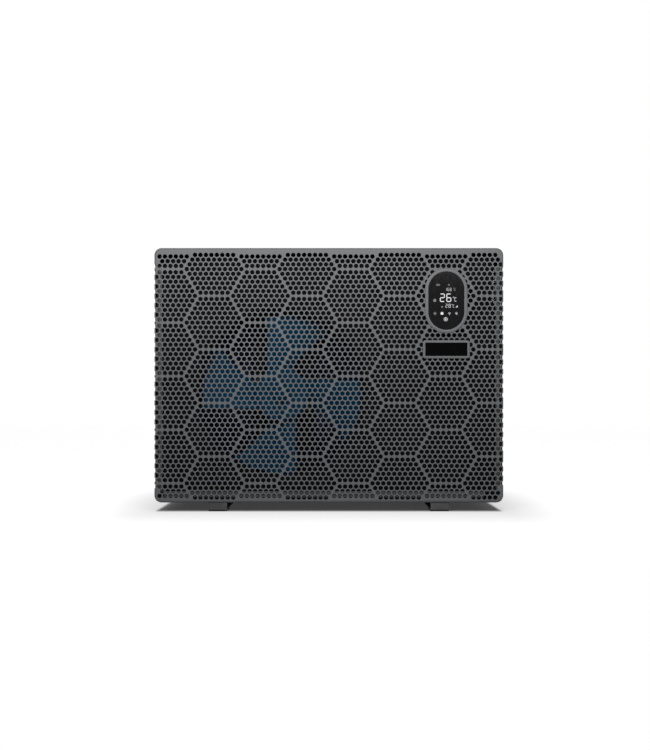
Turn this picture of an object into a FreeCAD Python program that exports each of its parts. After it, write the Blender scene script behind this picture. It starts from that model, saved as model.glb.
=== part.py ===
import FreeCAD, Part
import math
import os
import Sketcher
from FreeCAD import Placement, Rotation, Vector

# A swimming-pool heat pump with a horizontal fan: a perforated front shell, sheet-metal casing, base pan on
# two foot rails, fan and evaporator on the left, compressor bay on the right, water unions at the rear.
# Frame: +Z up, +X to the right and +Y away from someone who faces the front. The origin is on the floor,
# in the middle of the unit's footprint, unions included. Millimetres.

doc = FreeCAD.newDocument("heat_pump")
sheet = doc.addObject("Spreadsheet::Sheet", "sizes")

DIMENSIONS = {
    # casing
    "case_width": 872.0,
    "case_depth": 349.0,
    "case_height": 636.0,
    "foot_height": 22.0,
    "corner_radius": 18.0,
    "cover_lip": 40.0,
    "flange": 12.0,
    "sheet_gauge": 1.2,
    "seam_gap": 0.5,
    "wrap_inset": 2.6,
    # front shell
    "shell_wall": 2.5,
    "shell_depth": 32.0,
    "shell_round": 6.0,
    "hole_pitch": 13.6,
    "row_slot": 3.8,
    "cell_pitch": 133.7,
    "cell_drop": 52.5,
    "hole_side_margin": 6.0,
    "hole_end_margin": 12.0,
    # display and rating plate
    "display_x": 293.0,
    "display_drop": 132.0,
    "display_width": 90.0,
    "display_height": 146.0,
    "bezel_rim": 8.0,
    "bezel_proud": 2.0,
    "plate_drop": 253.5,
    "plate_width": 105.0,
    "plate_height": 33.5,
    "plate_rim": 6.0,
    "plate_proud": 1.2,
    "bezel_skirt": 1.5,
    "housing_depth": 24.0,
    "window_gap": 0.2,
    "seat_round": 3.0,
    "frame_round": 6.0,
    "sleeve_overlap": 0.5,
    "lead_hole": 14.0,
    # base
    "pan_lip": 28.0,
    "pan_gauge": 1.5,
    "tongue_gap": 1.2,
    "tongue_left": 416.0,
    "tongue_right": 392.0,
    "rail_width": 46.0,
    "rail_spacing": 555.0,
    "rail_gauge": 2.0,
    "rail_setback": 8.0,
    "pad_height": 4.0,
    "pad_length": 60.0,
    "anchor_spacing": 270.0,
    "anchor_hole": 10.0,
    "spout_radius": 9.0,
    "spout_length": 14.0,
    "spout_wall": 2.0,
    "spout_flange": 7.0,
    "cap_gauge": 3.0,
    "cap_gap": 0.3,
    # fan
    "fan_x": -121.0,
    "fan_z": 293.0,
    "fan_radius": 202.0,
    "hub_radius": 69.0,
    "hub_depth": 62.0,
    "tip_gap": 7.0,
    "mouth_flare": 10.0,
    "mouth_depth": 52.0,
    "blade_gauge": 3.0,
    "hub_setback": 62.0,
    "shaft_radius": 6.0,
    "running_gap": 0.05,
    "motor_radius": 58.0,
    "motor_length": 76.0,
    "motor_gap": 8.0,
    "lug_gauge": 6.0,
    "lug_offset": 34.0,
    "hub_wall": 3.0,
    "hub_round": 7.0,
    "boss_radius": 15.0,
    "rib_gauge": 2.5,
    "bracket_rail_width": 30.0,
    "bracket_rail_spacing": 131.0,
    "bracket_depth": 26.0,
    "bracket_gauge": 2.0,
    # evaporator
    "coil_thickness": 44.0,
    "coil_bend": 50.0,
    "coil_row_pitch": 25.4,
    "tube_radius": 4.8,
    "guard_gap": 8.0,
    "guard_gauge": 3.0,
    "guard_rim": 12.0,
    "guard_bar": 4.0,
    "coil_clearance": 4.0,
    "coil_side_gap": 6.0,
    "coil_right_gap": 24.0,
    "coil_leg_gap": 14.0,
    "first_bend_rise": 20.0,
    # compressor bay
    "bay_wall_x": 137.0,
    "compressor_x": 236.0,
    "compressor_y": -62.0,
    "compressor_radius": 62.0,
    "compressor_height": 262.0,
    "grommet_height": 14.0,
    "foot_circle": 78.0,
    "plate_thickness": 4.0,
    "lobe_radius": 17.0,
    "grommet_radius": 14.0,
    "grommet_neck": 11.0,
    "stud_radius": 4.0,
    "can_round": 22.0,
    "stub_length": 8.0,
    "accumulator_radius": 27.0,
    "accumulator_height": 150.0,
    "accumulator_rise": 62.0,
    "accumulator_gap": 12.0,
    "strap_gauge": 2.0,
    "strap_width": 24.0,
    "gas_pipe_radius": 6.0,
    "liquid_pipe_radius": 5.0,
    "exchanger_x": 350.0,
    "exchanger_y": 52.0,
    "exchanger_radius": 62.0,
    "exchanger_height": 390.0,
    "stand_height": 30.0,
    "stand_gauge": 2.0,
    "barrel_inset": 16.0,
    "cap_height": 26.0,
    "cap_lip": 6.0,
    "cap_grip": 9.0,
    "box_drop": 12.0,
    "box_height": 118.0,
    "box_depth": 190.0,
    "board_gauge": 1.6,
    "board_rise": 10.0,
    # water unions
    "union_reach": 46.0,
    "inlet_z": 132.0,
    "outlet_z": 372.0,
    "pipe_bore": 25.1,
    "socket_wall": 4.0,
    "nut_radius": 44.0,
    "nut_length": 30.0,
    "thread_radius": 35.0,
    "thread_gap": 0.3,
    "thread_depth": 1.6,
    "collar_lip": 6.0,
    "seat_reach": 18.0,
    "washer_gauge": 2.0,
    "nut_setback": 6.5,
    "throat_gap": 0.06,
    "socket_stop": 2.5,
    # cable glands
    "gland_x": 190.0,
    "gland_z": 92.0,
    "gland_spacing": 44.0,
    "gland_radius": 9.5,
    "cable_bore": 5.5,
    "gland_flats": 4.5,
    "dome_flats": 3.5,
    "dome_length": 17.0,
    # fasteners and handles
    "slot_low_z": 84.0,
    "slot_pitch": 15.5,
    "slot_width": 6.0,
    "slot_length": 84.0,
    "slot_column": 97.0,
    "screw_head_radius": 4.6,
    "screw_head_height": 2.2,
    "handle_rise": 28.5,
    "handle_width": 112.0,
    "handle_height": 44.0,
    "handle_depth": 24.0,
    "handle_collar": 8.0,
    "collar_proud": 1.4,
    "cup_gap": 0.3,
    "cup_wall": 2.5,
}


class Size:
    """A length that carries its number and the sheet expression that gives it."""

    def __init__(self, value, text):
        self.value = value
        self.text = text

    def __float__(self):
        return self.value

    def __neg__(self):
        return Size(-self.value, f"(0 - {self.text})")

    def __add__(self, other):
        return Size(self.value + float(other), f"({self.text} + {text_of(other)})")

    def __radd__(self, other):
        return Size(float(other) + self.value, f"({text_of(other)} + {self.text})")

    def __sub__(self, other):
        return Size(self.value - float(other), f"({self.text} - {text_of(other)})")

    def __rsub__(self, other):
        return Size(float(other) - self.value, f"({text_of(other)} - {self.text})")

    def __mul__(self, other):
        return Size(self.value * float(other), f"({self.text} * {text_of(other)})")

    def __rmul__(self, other):
        return Size(float(other) * self.value, f"({text_of(other)} * {self.text})")

    def __truediv__(self, other):
        return Size(self.value / float(other), f"({self.text} / {text_of(other)})")


def text_of(value):
    """The expression text of a Size or a plain number."""
    return value.text if isinstance(value, Size) else f"({float(value):.6f})"


class Sizes:
    """Every driving dimension of the sheet, as a Size under its alias."""


sizes = Sizes()
for row, (alias, value) in enumerate(DIMENSIONS.items(), start=1):
    sheet.set(f"A{row}", alias)
    sheet.set(f"B{row}", str(value))
    sheet.setAlias(f"B{row}", alias)
doc.recompute()
for alias in DIMENSIONS:
    setattr(sizes, alias, Size(float(sheet.get(alias)), f"sizes.{alias}"))

# Planes that several pieces share.
half_width = sizes.case_width / 2
front_y = -(sizes.case_depth + sizes.union_reach - sizes.bezel_proud) / 2
rear_y = front_y + sizes.case_depth
bottom_z = sizes.foot_height
top_z = sizes.foot_height + sizes.case_height
shell_back_y = front_y + sizes.shell_depth
wall_front_y = shell_back_y + sizes.seam_gap
wall_x = half_width - sizes.wrap_inset
wrap_top_z = top_z - sizes.wrap_inset
wrap_corner = sizes.corner_radius - sizes.wrap_inset
cover_bottom_z = wrap_top_z - sizes.cover_lip
shroud_y = wall_front_y + sizes.pan_gauge
shroud_back_y = shroud_y + sizes.pan_gauge
pan_floor_z = bottom_z + sizes.pan_gauge
pan_top_z = bottom_z + sizes.pan_lip
pan_front_y = front_y + sizes.shell_wall + sizes.tongue_gap
inner_x = wall_x - sizes.pan_gauge
inner_top_z = wrap_top_z - sizes.sheet_gauge
inner_rear_y = rear_y - sizes.guard_gauge
coil_back_y = inner_rear_y - sizes.guard_gap
coil_front_y = coil_back_y - sizes.coil_thickness
coil_left_x = -wall_x + sizes.handle_depth + sizes.coil_side_gap
coil_right_x = sizes.bay_wall_x - sizes.coil_right_gap
coil_leg_y = shroud_back_y + sizes.coil_leg_gap
coil_top_z = inner_top_z - sizes.coil_clearance
coil_low_z = pan_floor_z + sizes.coil_clearance
hub_front_y = front_y + sizes.hub_setback
hub_back_y = hub_front_y + sizes.hub_depth
motor_front_y = hub_back_y + sizes.motor_gap
motor_back_y = motor_front_y + sizes.motor_length
display_z = top_z - sizes.display_drop
plate_z = top_z - sizes.plate_drop
exchanger_low_z = pan_floor_z + sizes.stand_height
exchanger_top_z = exchanger_low_z + sizes.exchanger_height
handle_z = exchanger_top_z + sizes.handle_rise
handle_y = (wall_front_y + rear_y) / 2

X_AXIS = Vector(1, 0, 0)
Y_AXIS = Vector(0, 1, 0)
Z_AXIS = Vector(0, 0, 1)
TURN = {"x": Rotation(Y_AXIS, 90), "y": Rotation(X_AXIS, -90), "z": Rotation()}

# Counts, and the reach of a cutting tool past the face it goes through.
nodes = []
counter = {"made": 0}
EDGE_TOLERANCE = 1e-4
REACH = 1.0
SLOT_ROWS = 22
COIL_BENDS = 12
GUARD_COLUMNS = 8
GUARD_ROWS = 34
CELL_ROWS = 6
BLADES = 4
HUB_RIBS = 6
NUT_GRIPS = 12


def fresh(kind):
    """A document name for a construction object."""
    counter["made"] += 1
    return f"{kind}_{counter['made']}"


def node(label, obj):
    """Names obj as one of the unit's own pieces."""
    obj.Label = label
    nodes.append(obj)
    return obj


def place(obj, at, rotation=None):
    """Puts obj at a point, each coordinate tied to the sheet."""
    if rotation is not None:
        obj.Placement = Placement(Vector(), rotation)
    for axis, value in zip("xyz", at):
        obj.setExpression(f"Placement.Base.{axis}", text_of(value))
    return obj


def box(x, y, z, length, width, height):
    """A block whose low corner is at x, y, z."""
    obj = doc.addObject("Part::Box", fresh("block"))
    for prop, value in (("Length", length), ("Width", width), ("Height", height)):
        obj.setExpression(prop, text_of(value))
    return place(obj, (x, y, z))


def slab(x0, x1, y0, y1, z0, z1):
    """A block given by its six planes."""
    return box(x0, y0, z0, x1 - x0, y1 - y0, z1 - z0)


def cylinder(at, radius, length, along="z"):
    """A cylinder that starts at a point and runs along an axis."""
    obj = doc.addObject("Part::Cylinder", fresh("round"))
    obj.setExpression("Radius", text_of(radius))
    obj.setExpression("Height", text_of(length))
    return place(obj, at, TURN[along])


def cone(at, radius_a, radius_b, length, along="z"):
    """A cone that starts at a point with radius_a and ends with radius_b."""
    obj = doc.addObject("Part::Cone", fresh("cone"))
    for prop, value in (("Radius1", radius_a), ("Radius2", radius_b), ("Height", length)):
        obj.setExpression(prop, text_of(value))
    return place(obj, at, TURN[along])


def torus(at, radius, tube, along="z", angle=360.0, rotation=None):
    """A ring about an axis through a point, or part of one."""
    obj = doc.addObject("Part::Torus", fresh("ring"))
    obj.setExpression("Radius1", text_of(radius))
    obj.setExpression("Radius2", text_of(tube))
    obj.Angle3 = angle
    return place(obj, at, rotation or TURN[along])


def prism(at, radius, length, sides, along="z"):
    """A prism with so many sides, such as a hexagonal nut."""
    obj = doc.addObject("Part::Prism", fresh("prism"))
    obj.Polygon = sides
    obj.setExpression("Circumradius", text_of(radius))
    obj.setExpression("Height", text_of(length))
    return place(obj, at, TURN[along])


def compound(parts):
    """Separate solids kept together."""
    obj = doc.addObject("Part::Compound", fresh("group"))
    obj.Links = parts
    return obj


def fuse(*parts):
    """One solid made of overlapping or touching ones."""
    obj = doc.addObject("Part::MultiFuse", fresh("fused"))
    obj.Shapes = list(parts)
    obj.Refine = True
    return obj


def cut(base, *tools):
    """base with the tools taken away."""
    obj = doc.addObject("Part::Cut", fresh("cut"))
    obj.Base = base
    obj.Tool = tools[0] if len(tools) == 1 else fuse(*tools)
    return obj


def tube(at, outer, inner, length, along="z"):
    """A round tube."""
    return cut(cylinder(at, outer, length, along), cylinder(at, inner, length, along))


def shaped(label, shape):
    """A piece whose shape is worked out with Part's own functions."""
    obj = doc.addObject("Part::Feature", fresh("piece"))
    obj.Shape = shape
    return node(label, obj)


# ---- sketches and bodies ----------------------------------------------------------------------------


def new_body(label=None):
    """A PartDesign body, which is one of the unit's pieces if it gets a label."""
    body = doc.addObject("PartDesign::Body", fresh("body"))
    return node(label, body) if label else body


def new_sketch(body, role, offset=0.0):
    """A sketch on one of the body's own origin planes, moved along that plane's normal."""
    sketch = body.newObject("Sketcher::SketchObject", fresh("sketch"))
    plane = next(f for f in body.Origin.OriginFeatures if f.Role == role)
    sketch.AttachmentSupport = (plane, [""])
    sketch.MapMode = "FlatFace"
    sketch.setExpression("AttachmentOffset.Base.z", text_of(offset))
    return sketch


def draw_outline(sketch, corners):
    """A closed outline of straight lines, each corner tied to the sheet."""
    first = sketch.GeometryCount
    ends = [Vector(float(u), float(v), 0) for u, v in corners]
    for a, b in zip(ends, ends[1:] + ends[:1]):
        sketch.addGeometry(Part.LineSegment(a, b), False)
    for k in range(len(corners)):
        following = first + (k + 1) % len(corners)
        sketch.addConstraint(Sketcher.Constraint("Coincident", first + k, 2, following, 1))
    for k, (u, v) in enumerate(corners):
        for kind, value in (("DistanceX", u), ("DistanceY", v)):
            tie = sketch.addConstraint(Sketcher.Constraint(kind, -1, 1, first + k, 1, float(value)))
            sketch.setExpression(f"Constraints[{tie}]", text_of(value))


def draw_rectangle(sketch, u0, u1, v0, v1):
    """A rectangle between two pairs of lines."""
    draw_outline(sketch, [(u0, v0), (u1, v0), (u1, v1), (u0, v1)])


def draw_circle(sketch, u, v, radius):
    """A circle tied to the sheet."""
    first = sketch.GeometryCount
    centre = Vector(float(u), float(v), 0)
    sketch.addGeometry(Part.Circle(centre, Vector(0, 0, 1), float(radius)), False)
    for kind, value in (("DistanceX", u), ("DistanceY", v)):
        tie = sketch.addConstraint(Sketcher.Constraint(kind, -1, 1, first, 3, float(value)))
        sketch.setExpression(f"Constraints[{tie}]", text_of(value))
    tie = sketch.addConstraint(Sketcher.Constraint("Radius", first, float(radius)))
    sketch.setExpression(f"Constraints[{tie}]", text_of(radius))


def pad(body, sketch, length, reverse=False):
    """Adds material on one side of a sketch."""
    feature = body.newObject("PartDesign::Pad", fresh("pad"))
    feature.Profile = sketch
    feature.setExpression("Length", text_of(length))
    feature.Reversed = reverse
    sketch.Visibility = False
    return feature


def pocket(body, sketch, length, reverse=False):
    """Takes material away on one side of a sketch."""
    feature = body.newObject("PartDesign::Pocket", fresh("pocket"))
    feature.Profile = sketch
    feature.setExpression("Length", text_of(length))
    feature.Reversed = reverse
    return feature


def revolve(body, sketch):
    """Turns a sketch a full turn about its own vertical axis."""
    feature = body.newObject("PartDesign::Revolution", fresh("revolution"))
    feature.Profile = sketch
    feature.ReferenceAxis = (sketch, ["V_Axis"])
    feature.Angle = 360
    return feature


def round_edges(body, feature, radius, wanted):
    """Rounds the edges of a body's last feature that a test picks out."""
    doc.recompute()
    names = [f"Edge{k}" for k, e in enumerate(feature.Shape.Edges, start=1) if wanted(e)]
    fillet = body.newObject("PartDesign::Fillet", fresh("fillet"))
    fillet.Base = (feature, names)
    fillet.setExpression("Radius", text_of(radius))
    return fillet


def hollow(body, feature, wall, wanted):
    """Turns a body's last feature into a sheet-metal shell, open where a test picks the faces."""
    doc.recompute()
    names = [f"Face{k}" for k, f in enumerate(feature.Shape.Faces, start=1) if wanted(f)]
    skin = body.newObject("PartDesign::Thickness", fresh("skin"))
    skin.Base = (feature, names)
    skin.setExpression("Value", text_of(wall))
    skin.Reversed = True
    skin.Join = 1
    return skin


def lies_at(face, axis, value):
    """True if a face is flat and lies in the plane where a coordinate has a value."""
    bounds = face.BoundBox
    low, high = getattr(bounds, f"{axis.upper()}Min"), getattr(bounds, f"{axis.upper()}Max")
    return abs(low - float(value)) < EDGE_TOLERANCE and abs(high - float(value)) < EDGE_TOLERANCE


def runs_along(edge, axis):
    """True if an edge is straight and runs along an axis."""
    ends = [v.Point for v in edge.Vertexes]
    return len(ends) == 2 and (ends[1] - ends[0]).cross(axis).Length < 1e-6


# ---- wires worked out in code -----------------------------------------------------------------------


def rounded_rectangle(x0, x1, z0, z1, radius, y):
    """A closed wire in a plane of constant y: a rectangle with round corners."""
    r = radius
    corners = [(x1 - r, z0 + r, -90), (x1 - r, z1 - r, 0), (x0 + r, z1 - r, 90), (x0 + r, z0 + r, 180)]
    edges, last = [], None
    for cx, cz, start in corners:
        a, m, b = (math.radians(start + s) for s in (0, 45, 90))
        points = [Vector(cx + r * math.cos(t), y, cz + r * math.sin(t)) for t in (a, m, b)]
        if last is not None and (points[0] - last).Length > 1e-6:
            edges.append(Part.LineSegment(last, points[0]).toShape())
        edges.append(Part.Arc(*points).toShape())
        last = points[2]
    first = edges[0].Vertexes[0].Point
    if (first - last).Length > 1e-6:
        edges.append(Part.LineSegment(last, first).toShape())
    return Part.Wire(edges)


def rectangle(x0, x1, z0, z1, y):
    """A closed wire in a plane of constant y."""
    return Part.makePolygon([Vector(x, y, z) for x, z in
                             ((x0, z0), (x0, z1), (x1, z1), (x1, z0), (x0, z0))])


def rounded_block(x0, x1, z0, z1, radius, y0, y1):
    """A block with its four edges along Y rounded."""
    face = Part.Face(rounded_rectangle(x0, x1, z0, z1, radius, y0))
    return face.extrude(Vector(0, y1 - y0, 0))


def bent_rod(points, radius, bend):
    """A rod that follows straight runs joined by arcs."""
    points = [Vector(*p) for p in points]
    edges, start = [], points[0]
    for a, b, c in zip(points, points[1:], points[2:]):
        before, after = (b - a).normalize(), (c - b).normalize()
        turn = before.getAngle(after)
        reach = bend * math.tan(turn / 2)
        into, out = b - before * reach, b + after * reach
        inward = (after - before).normalize()
        middle = b + inward * (bend / math.cos(turn / 2) - bend)
        edges.append(Part.LineSegment(start, into).toShape())
        edges.append(Part.Arc(into, middle, out).toShape())
        start = out
    edges.append(Part.LineSegment(start, points[-1]).toShape())
    path = Part.Wire(edges)
    section = Part.Wire(Part.Circle(points[0], points[1] - points[0], radius).toShape())
    return path.makePipeShell([section], True, False)


# ---- base -------------------------------------------------------------------------------------------


def make_base_pan():
    """The drip tray that carries everything, with a tongue inside the front shell and a drain hole."""
    gauge, corner = sizes.pan_gauge, float(wrap_corner)

    def lower_edges(edge):
        """The long lower edges, which are rolled round."""
        return runs_along(edge, Y_AXIS) and edge.Vertexes[0].Z < float(pan_floor_z) + 0.1

    outer = soften(slab(-wall_x, wall_x, wall_front_y, rear_y, bottom_z, pan_top_z), corner, lower_edges)
    inner = soften(slab(-wall_x + gauge, wall_x - gauge, wall_front_y + gauge, rear_y - gauge,
                        pan_floor_z, pan_top_z + 1.0), corner - float(gauge), lower_edges)
    tongue = slab(-sizes.tongue_left, sizes.tongue_right, pan_front_y, wall_front_y + gauge,
                  tongue_z, pan_top_z)
    trough = slab(-sizes.tongue_left + gauge, sizes.tongue_right - gauge, pan_front_y + gauge,
                  wall_front_y + gauge + 1.0, tongue_z + gauge, pan_top_z + 1.0)
    drain = cylinder((drain_x, drain_y, bottom_z - REACH), sizes.spout_radius - sizes.spout_wall,
                     sizes.pan_gauge + 2 * REACH)
    node("base_pan", cut(fuse(outer, tongue), inner, trough, drain))


tongue_z = bottom_z + sizes.shell_wall + sizes.tongue_gap
drain_x = sizes.fan_x
drain_y = (front_y + rear_y) / 2


def make_drain_spout():
    """The condensate spout under the drain hole, which a hose pushes onto."""
    wall = sizes.spout_wall
    bore = sizes.spout_radius - wall
    flange = tube((drain_x, drain_y, bottom_z - wall), sizes.spout_radius + sizes.spout_flange, bore, wall)
    pipe = tube((drain_x, drain_y, bottom_z - wall - sizes.spout_length), sizes.spout_radius, bore,
                sizes.spout_length)
    node("drain_spout", fuse(flange, pipe))


def rail_x(side):
    """The middle of a foot rail."""
    return side * sizes.rail_spacing / 2


rail_front_y = front_y + sizes.rail_setback
rail_back_y = rear_y - sizes.rail_setback
rail_mid_y = (rail_front_y + rail_back_y) / 2


def foot_rail(side):
    """A channel under the pan, open towards the middle, its lower flange drilled for anchor bolts."""
    body = new_body()
    profile = new_sketch(body, "XZ_Plane", -rail_back_y)
    outer = rail_x(side) + side * sizes.rail_width / 2
    inner = rail_x(side) - side * sizes.rail_width / 2
    low, high, gauge = sizes.pad_height, bottom_z, sizes.rail_gauge
    draw_outline(profile, [
        (inner, low), (outer, low), (outer, high), (inner, high),
        (inner, high - gauge), (outer - side * gauge, high - gauge),
        (outer - side * gauge, low + gauge), (inner, low + gauge)])
    pad(body, profile, rail_back_y - rail_front_y)
    ends = new_sketch(body, "XY_Plane", low + gauge)
    for end in (-1, 1):
        draw_circle(ends, rail_x(side), rail_mid_y + end * sizes.anchor_spacing / 2, sizes.anchor_hole / 2)
    pocket(body, ends, gauge)
    return body


def make_foot_caps():
    """Moulded end caps that close the front and rear of both rails."""
    caps = []
    for side in (-1, 1):
        inner = rail_x(side) - side * sizes.rail_width / 2
        outer = rail_x(side) + side * sizes.rail_width / 2
        low_x, high_x = (inner, outer) if side > 0 else (outer, inner)
        for y in (rail_front_y - sizes.cap_gauge, rail_back_y):
            caps.append(slab(low_x, high_x, y, y + sizes.cap_gauge, sizes.pad_height,
                             bottom_z - sizes.cap_gap))
    node("foot_caps", compound(caps))


def make_foot_pads():
    """Four rubber pads under the rail ends, holed for the anchor bolts."""
    pads = []
    for side in (-1, 1):
        for end in (-1, 1):
            y = rail_mid_y + end * sizes.anchor_spacing / 2
            block = slab(rail_x(side) - sizes.rail_width / 2, rail_x(side) + sizes.rail_width / 2,
                         y - sizes.pad_length / 2, y + sizes.pad_length / 2, 0.0, sizes.pad_height)
            hole = cylinder((rail_x(side), y, 0.0), sizes.anchor_hole / 2 + 1.0, sizes.pad_height)
            pads.append(cut(block, hole))
    node("foot_pads", compound(pads))


# ---- front shell ------------------------------------------------------------------------------------


def honeycomb_cells():
    """The centres of the big hexagons of the grille, x and z."""
    pitch = float(sizes.cell_pitch)
    column_pitch = pitch * math.sqrt(3) / 2
    shift = float(sizes.hole_pitch) / 4
    first_z = float(top_z) - float(sizes.cell_drop)
    columns = math.ceil(float(sizes.case_width) / column_pitch / 2) * 2
    rows = math.ceil(float(sizes.case_height) / pitch) + 2
    for column in range(columns):
        x = shift + (column - (columns - 1) / 2) * column_pitch
        raised = pitch / 2 if (column - columns // 2) % 2 == 0 else 0.0
        for row in range(rows):
            yield x, first_z + raised - row * pitch


def clear_spans(x0, x1, z, half_height):
    """The parts of a row of the grille that the display and the plate leave clear."""
    spans = [(x0, x1)]
    display = (sizes.display_x, display_z, sizes.display_width, sizes.display_height, sizes.bezel_rim)
    plate = (sizes.display_x, plate_z, sizes.plate_width, sizes.plate_height, sizes.plate_rim)
    for shape in (display, plate):
        cx, cz, width, height, rim = (float(v) for v in shape)
        if abs(z - cz) > height / 2 + rim + half_height + 2:
            continue
        low, high = cx - width / 2 - rim - 2, cx + width / 2 + rim + 2
        spans = [s for a, b in spans for s in ((a, min(b, low)), (max(a, high), b)) if s[1] - s[0] > 1.0]
    return spans


def grille_slots():
    """One slot for each row of holes in each hexagon, as x0, x1, z0, z1."""
    pitch, half = float(sizes.hole_pitch), float(sizes.row_slot) / 2
    limit_x = float(half_width) - float(sizes.hole_side_margin) - float(sizes.shell_round) / 2
    low = float(bottom_z) + float(sizes.hole_end_margin)
    high = float(top_z) - float(sizes.hole_end_margin)
    corner = float(sizes.corner_radius)
    for cx, cz in honeycomb_cells():
        for row in range(1 - CELL_ROWS, CELL_ROWS):
            z = cz + row * pitch * math.sqrt(3) / 2
            if not low <= z <= high:
                continue
            reach = (2 * CELL_ROWS - 2 - abs(row)) / 2 * pitch + pitch / 4
            near_corner = min(z - float(bottom_z), float(top_z) - z) < corner
            limit = limit_x - (corner / 2 if near_corner else 0.0)
            x0, x1 = max(cx - reach, -limit), min(cx + reach, limit)
            if x1 - x0 > pitch / 2:
                for a, b in clear_spans(x0, x1, z, half):
                    yield a, b, z - half, z + half


def make_front_panel():
    """The moulded front shell: a face cut with a honeycomb grille, and a rim that turns back all round."""
    w, y0, y1 = float(half_width), float(front_y), float(shell_back_y)
    z0, z1 = float(bottom_z), float(top_z)
    r, wall, soft = float(sizes.corner_radius), float(sizes.shell_wall), float(sizes.shell_round)
    outer = rounded_block(-w, w, z0, z1, r, y0, y1)
    outer = outer.makeFillet(soft, [e for e in outer.Edges if abs(e.BoundBox.YMax - y0) < 1e-6])
    inner = rounded_block(-w + wall, w - wall, z0 + wall, z1 - wall, r - wall, y0 + wall, y1 + 1)
    front_edges = [e for e in inner.Edges if abs(e.BoundBox.YMax - y0 - wall) < 1e-6]
    shell = outer.cut(inner.makeFillet(soft - wall, front_edges))
    field = rounded_rectangle(-w + soft, w - soft, z0 + soft, z1 - soft, r - soft, y0)
    shell = shell.cut(Part.Face(field).extrude(Vector(0, wall, 0)))
    slots = [rectangle(a, b, c, d, y0) for a, b, c, d in grille_slots()]
    seats = [rounded_rectangle(*display_seat(), y0), rounded_rectangle(*plate_seat(), y0)]
    for seat in seats:
        seat.reverse()
    grille = Part.Face([field] + slots + seats).extrude(Vector(0, wall, 0))
    shaped("front_panel", shell.fuse(grille).Solids[0])


def display_seat():
    """The window in the shell for the display, as x0, x1, z0, z1 and corner radius."""
    x, z = float(sizes.display_x), float(display_z)
    skirt = float(sizes.bezel_skirt)
    w, h = float(sizes.display_width) / 2 + skirt, float(sizes.display_height) / 2 + skirt
    return x - w, x + w, z - h, z + h, w - 0.001


def plate_seat():
    """The window in the shell for the plate."""
    x, z = float(sizes.display_x), float(plate_z)
    skirt = float(sizes.bezel_skirt)
    w, h = float(sizes.plate_width) / 2 + skirt, float(sizes.plate_height) / 2 + skirt
    return x - w, x + w, z - h, z + h, float(sizes.seat_round)


def stadium(x, z, width, height, y0, y1):
    """An upright block with half-round ends, between two planes of constant Y."""
    radius = width / 2
    top, low = z + height / 2 - radius, z - height / 2 + radius
    ends = [cylinder((x, y0, end), radius, y1 - y0, "y") for end in (low, top)]
    return fuse(*ends, slab(x - radius, x + radius, y0, y1, low, top))


def make_display():
    """The display: a raised ring, a dark window, and a housing with a board behind it."""
    x, z, w, h = sizes.display_x, display_z, sizes.display_width, sizes.display_height
    skirt = sizes.bezel_skirt - sizes.window_gap
    back = front_y + sizes.shell_wall + 4.0
    rim = stadium(x, z, w + 2 * sizes.bezel_rim, h + 2 * sizes.bezel_rim,
                  front_y - sizes.bezel_proud, front_y)
    sleeve = stadium(x, z, w + 2 * skirt, h + 2 * skirt, front_y - sizes.sleeve_overlap, back)
    bore = stadium(x, z, w, h, front_y - sizes.bezel_proud - 1.0, back + 1.0)
    node("display_bezel", cut(fuse(rim, sleeve), bore))
    glass_back = front_y + 1.8
    node("display_window", stadium(x, z, w - 2 * sizes.window_gap, h - 2 * sizes.window_gap,
                                   glass_back - 3.0, glass_back))
    case = slab(x - w / 2 + 1.0, x + w / 2 - 1.0, glass_back, front_y + sizes.housing_depth,
                z - h / 2 + w / 2, z + h / 2 - w / 2)
    hollow_space = slab(x - w / 2 + 3.0, x + w / 2 - 3.0, front_y + 6.0, front_y + sizes.housing_depth + 1.0,
                        z - h / 2 + w / 2 + 2.0, z + h / 2 - w / 2 - 2.0)
    clip_z = h / 2 - 12.0
    clips = [slab(x - 8.0, x + 8.0, glass_back, front_y + 8.0, z + end * clip_z - 4.0, z + end * clip_z + 4.0)
             for end in (-1, 1)]
    web = slab(x - 6.0, x + 6.0, glass_back, front_y + 5.0, z - clip_z, z + clip_z)
    node("display_housing", fuse(cut(case, hollow_space), web, *clips))
    board_front = front_y + 6.0
    board_back = board_front + sizes.board_gauge
    board = slab(x - w / 2 + 5.0, x + w / 2 - 5.0, board_front, board_back,
                 z - h / 2 + w / 2 + 4.0, z + h / 2 - w / 2 - 4.0)
    socket = slab(x - 12.0, x + 12.0, board_back, board_back + 7.4, z - 22.0, z - 12.0)
    node("display_board", fuse(board, socket))


def make_nameplate():
    """The bare black plate under the display, in a thin raised frame."""
    x, z, w, h = sizes.display_x, plate_z, sizes.plate_width, sizes.plate_height
    rim = sizes.plate_rim
    skirt = sizes.bezel_skirt - sizes.window_gap
    outer = slab(x - w / 2 - rim, x + w / 2 + rim, front_y - sizes.plate_proud, front_y,
                 z - h / 2 - rim, z + h / 2 + rim)
    sleeve = slab(x - w / 2 - skirt, x + w / 2 + skirt, front_y - sizes.sleeve_overlap, front_y + 5.0,
                  z - h / 2 - skirt, z + h / 2 + skirt)
    hole = slab(x - w / 2, x + w / 2, front_y - 5.0, front_y + 6.0, z - h / 2, z + h / 2)
    outer = soften(outer, float(sizes.frame_round), lambda e: runs_along(e, Y_AXIS))
    sleeve = soften(sleeve, float(sizes.seat_round), lambda e: runs_along(e, Y_AXIS))
    node("nameplate_frame", cut(fuse(outer, sleeve), hole))
    node("nameplate", slab(x - w / 2, x + w / 2, front_y - 0.4, front_y + 2.0, z - h / 2, z + h / 2))


def soften(base, radius, wanted):
    """base with some of its edges rounded."""
    doc.recompute()
    obj = doc.addObject("Part::Fillet", fresh("soft"))
    obj.Base = base
    obj.Edges = [(k, radius, radius) for k, e in enumerate(base.Shape.Edges, start=1) if wanted(e)]
    return obj


# ---- casing -----------------------------------------------------------------------------------------


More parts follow.
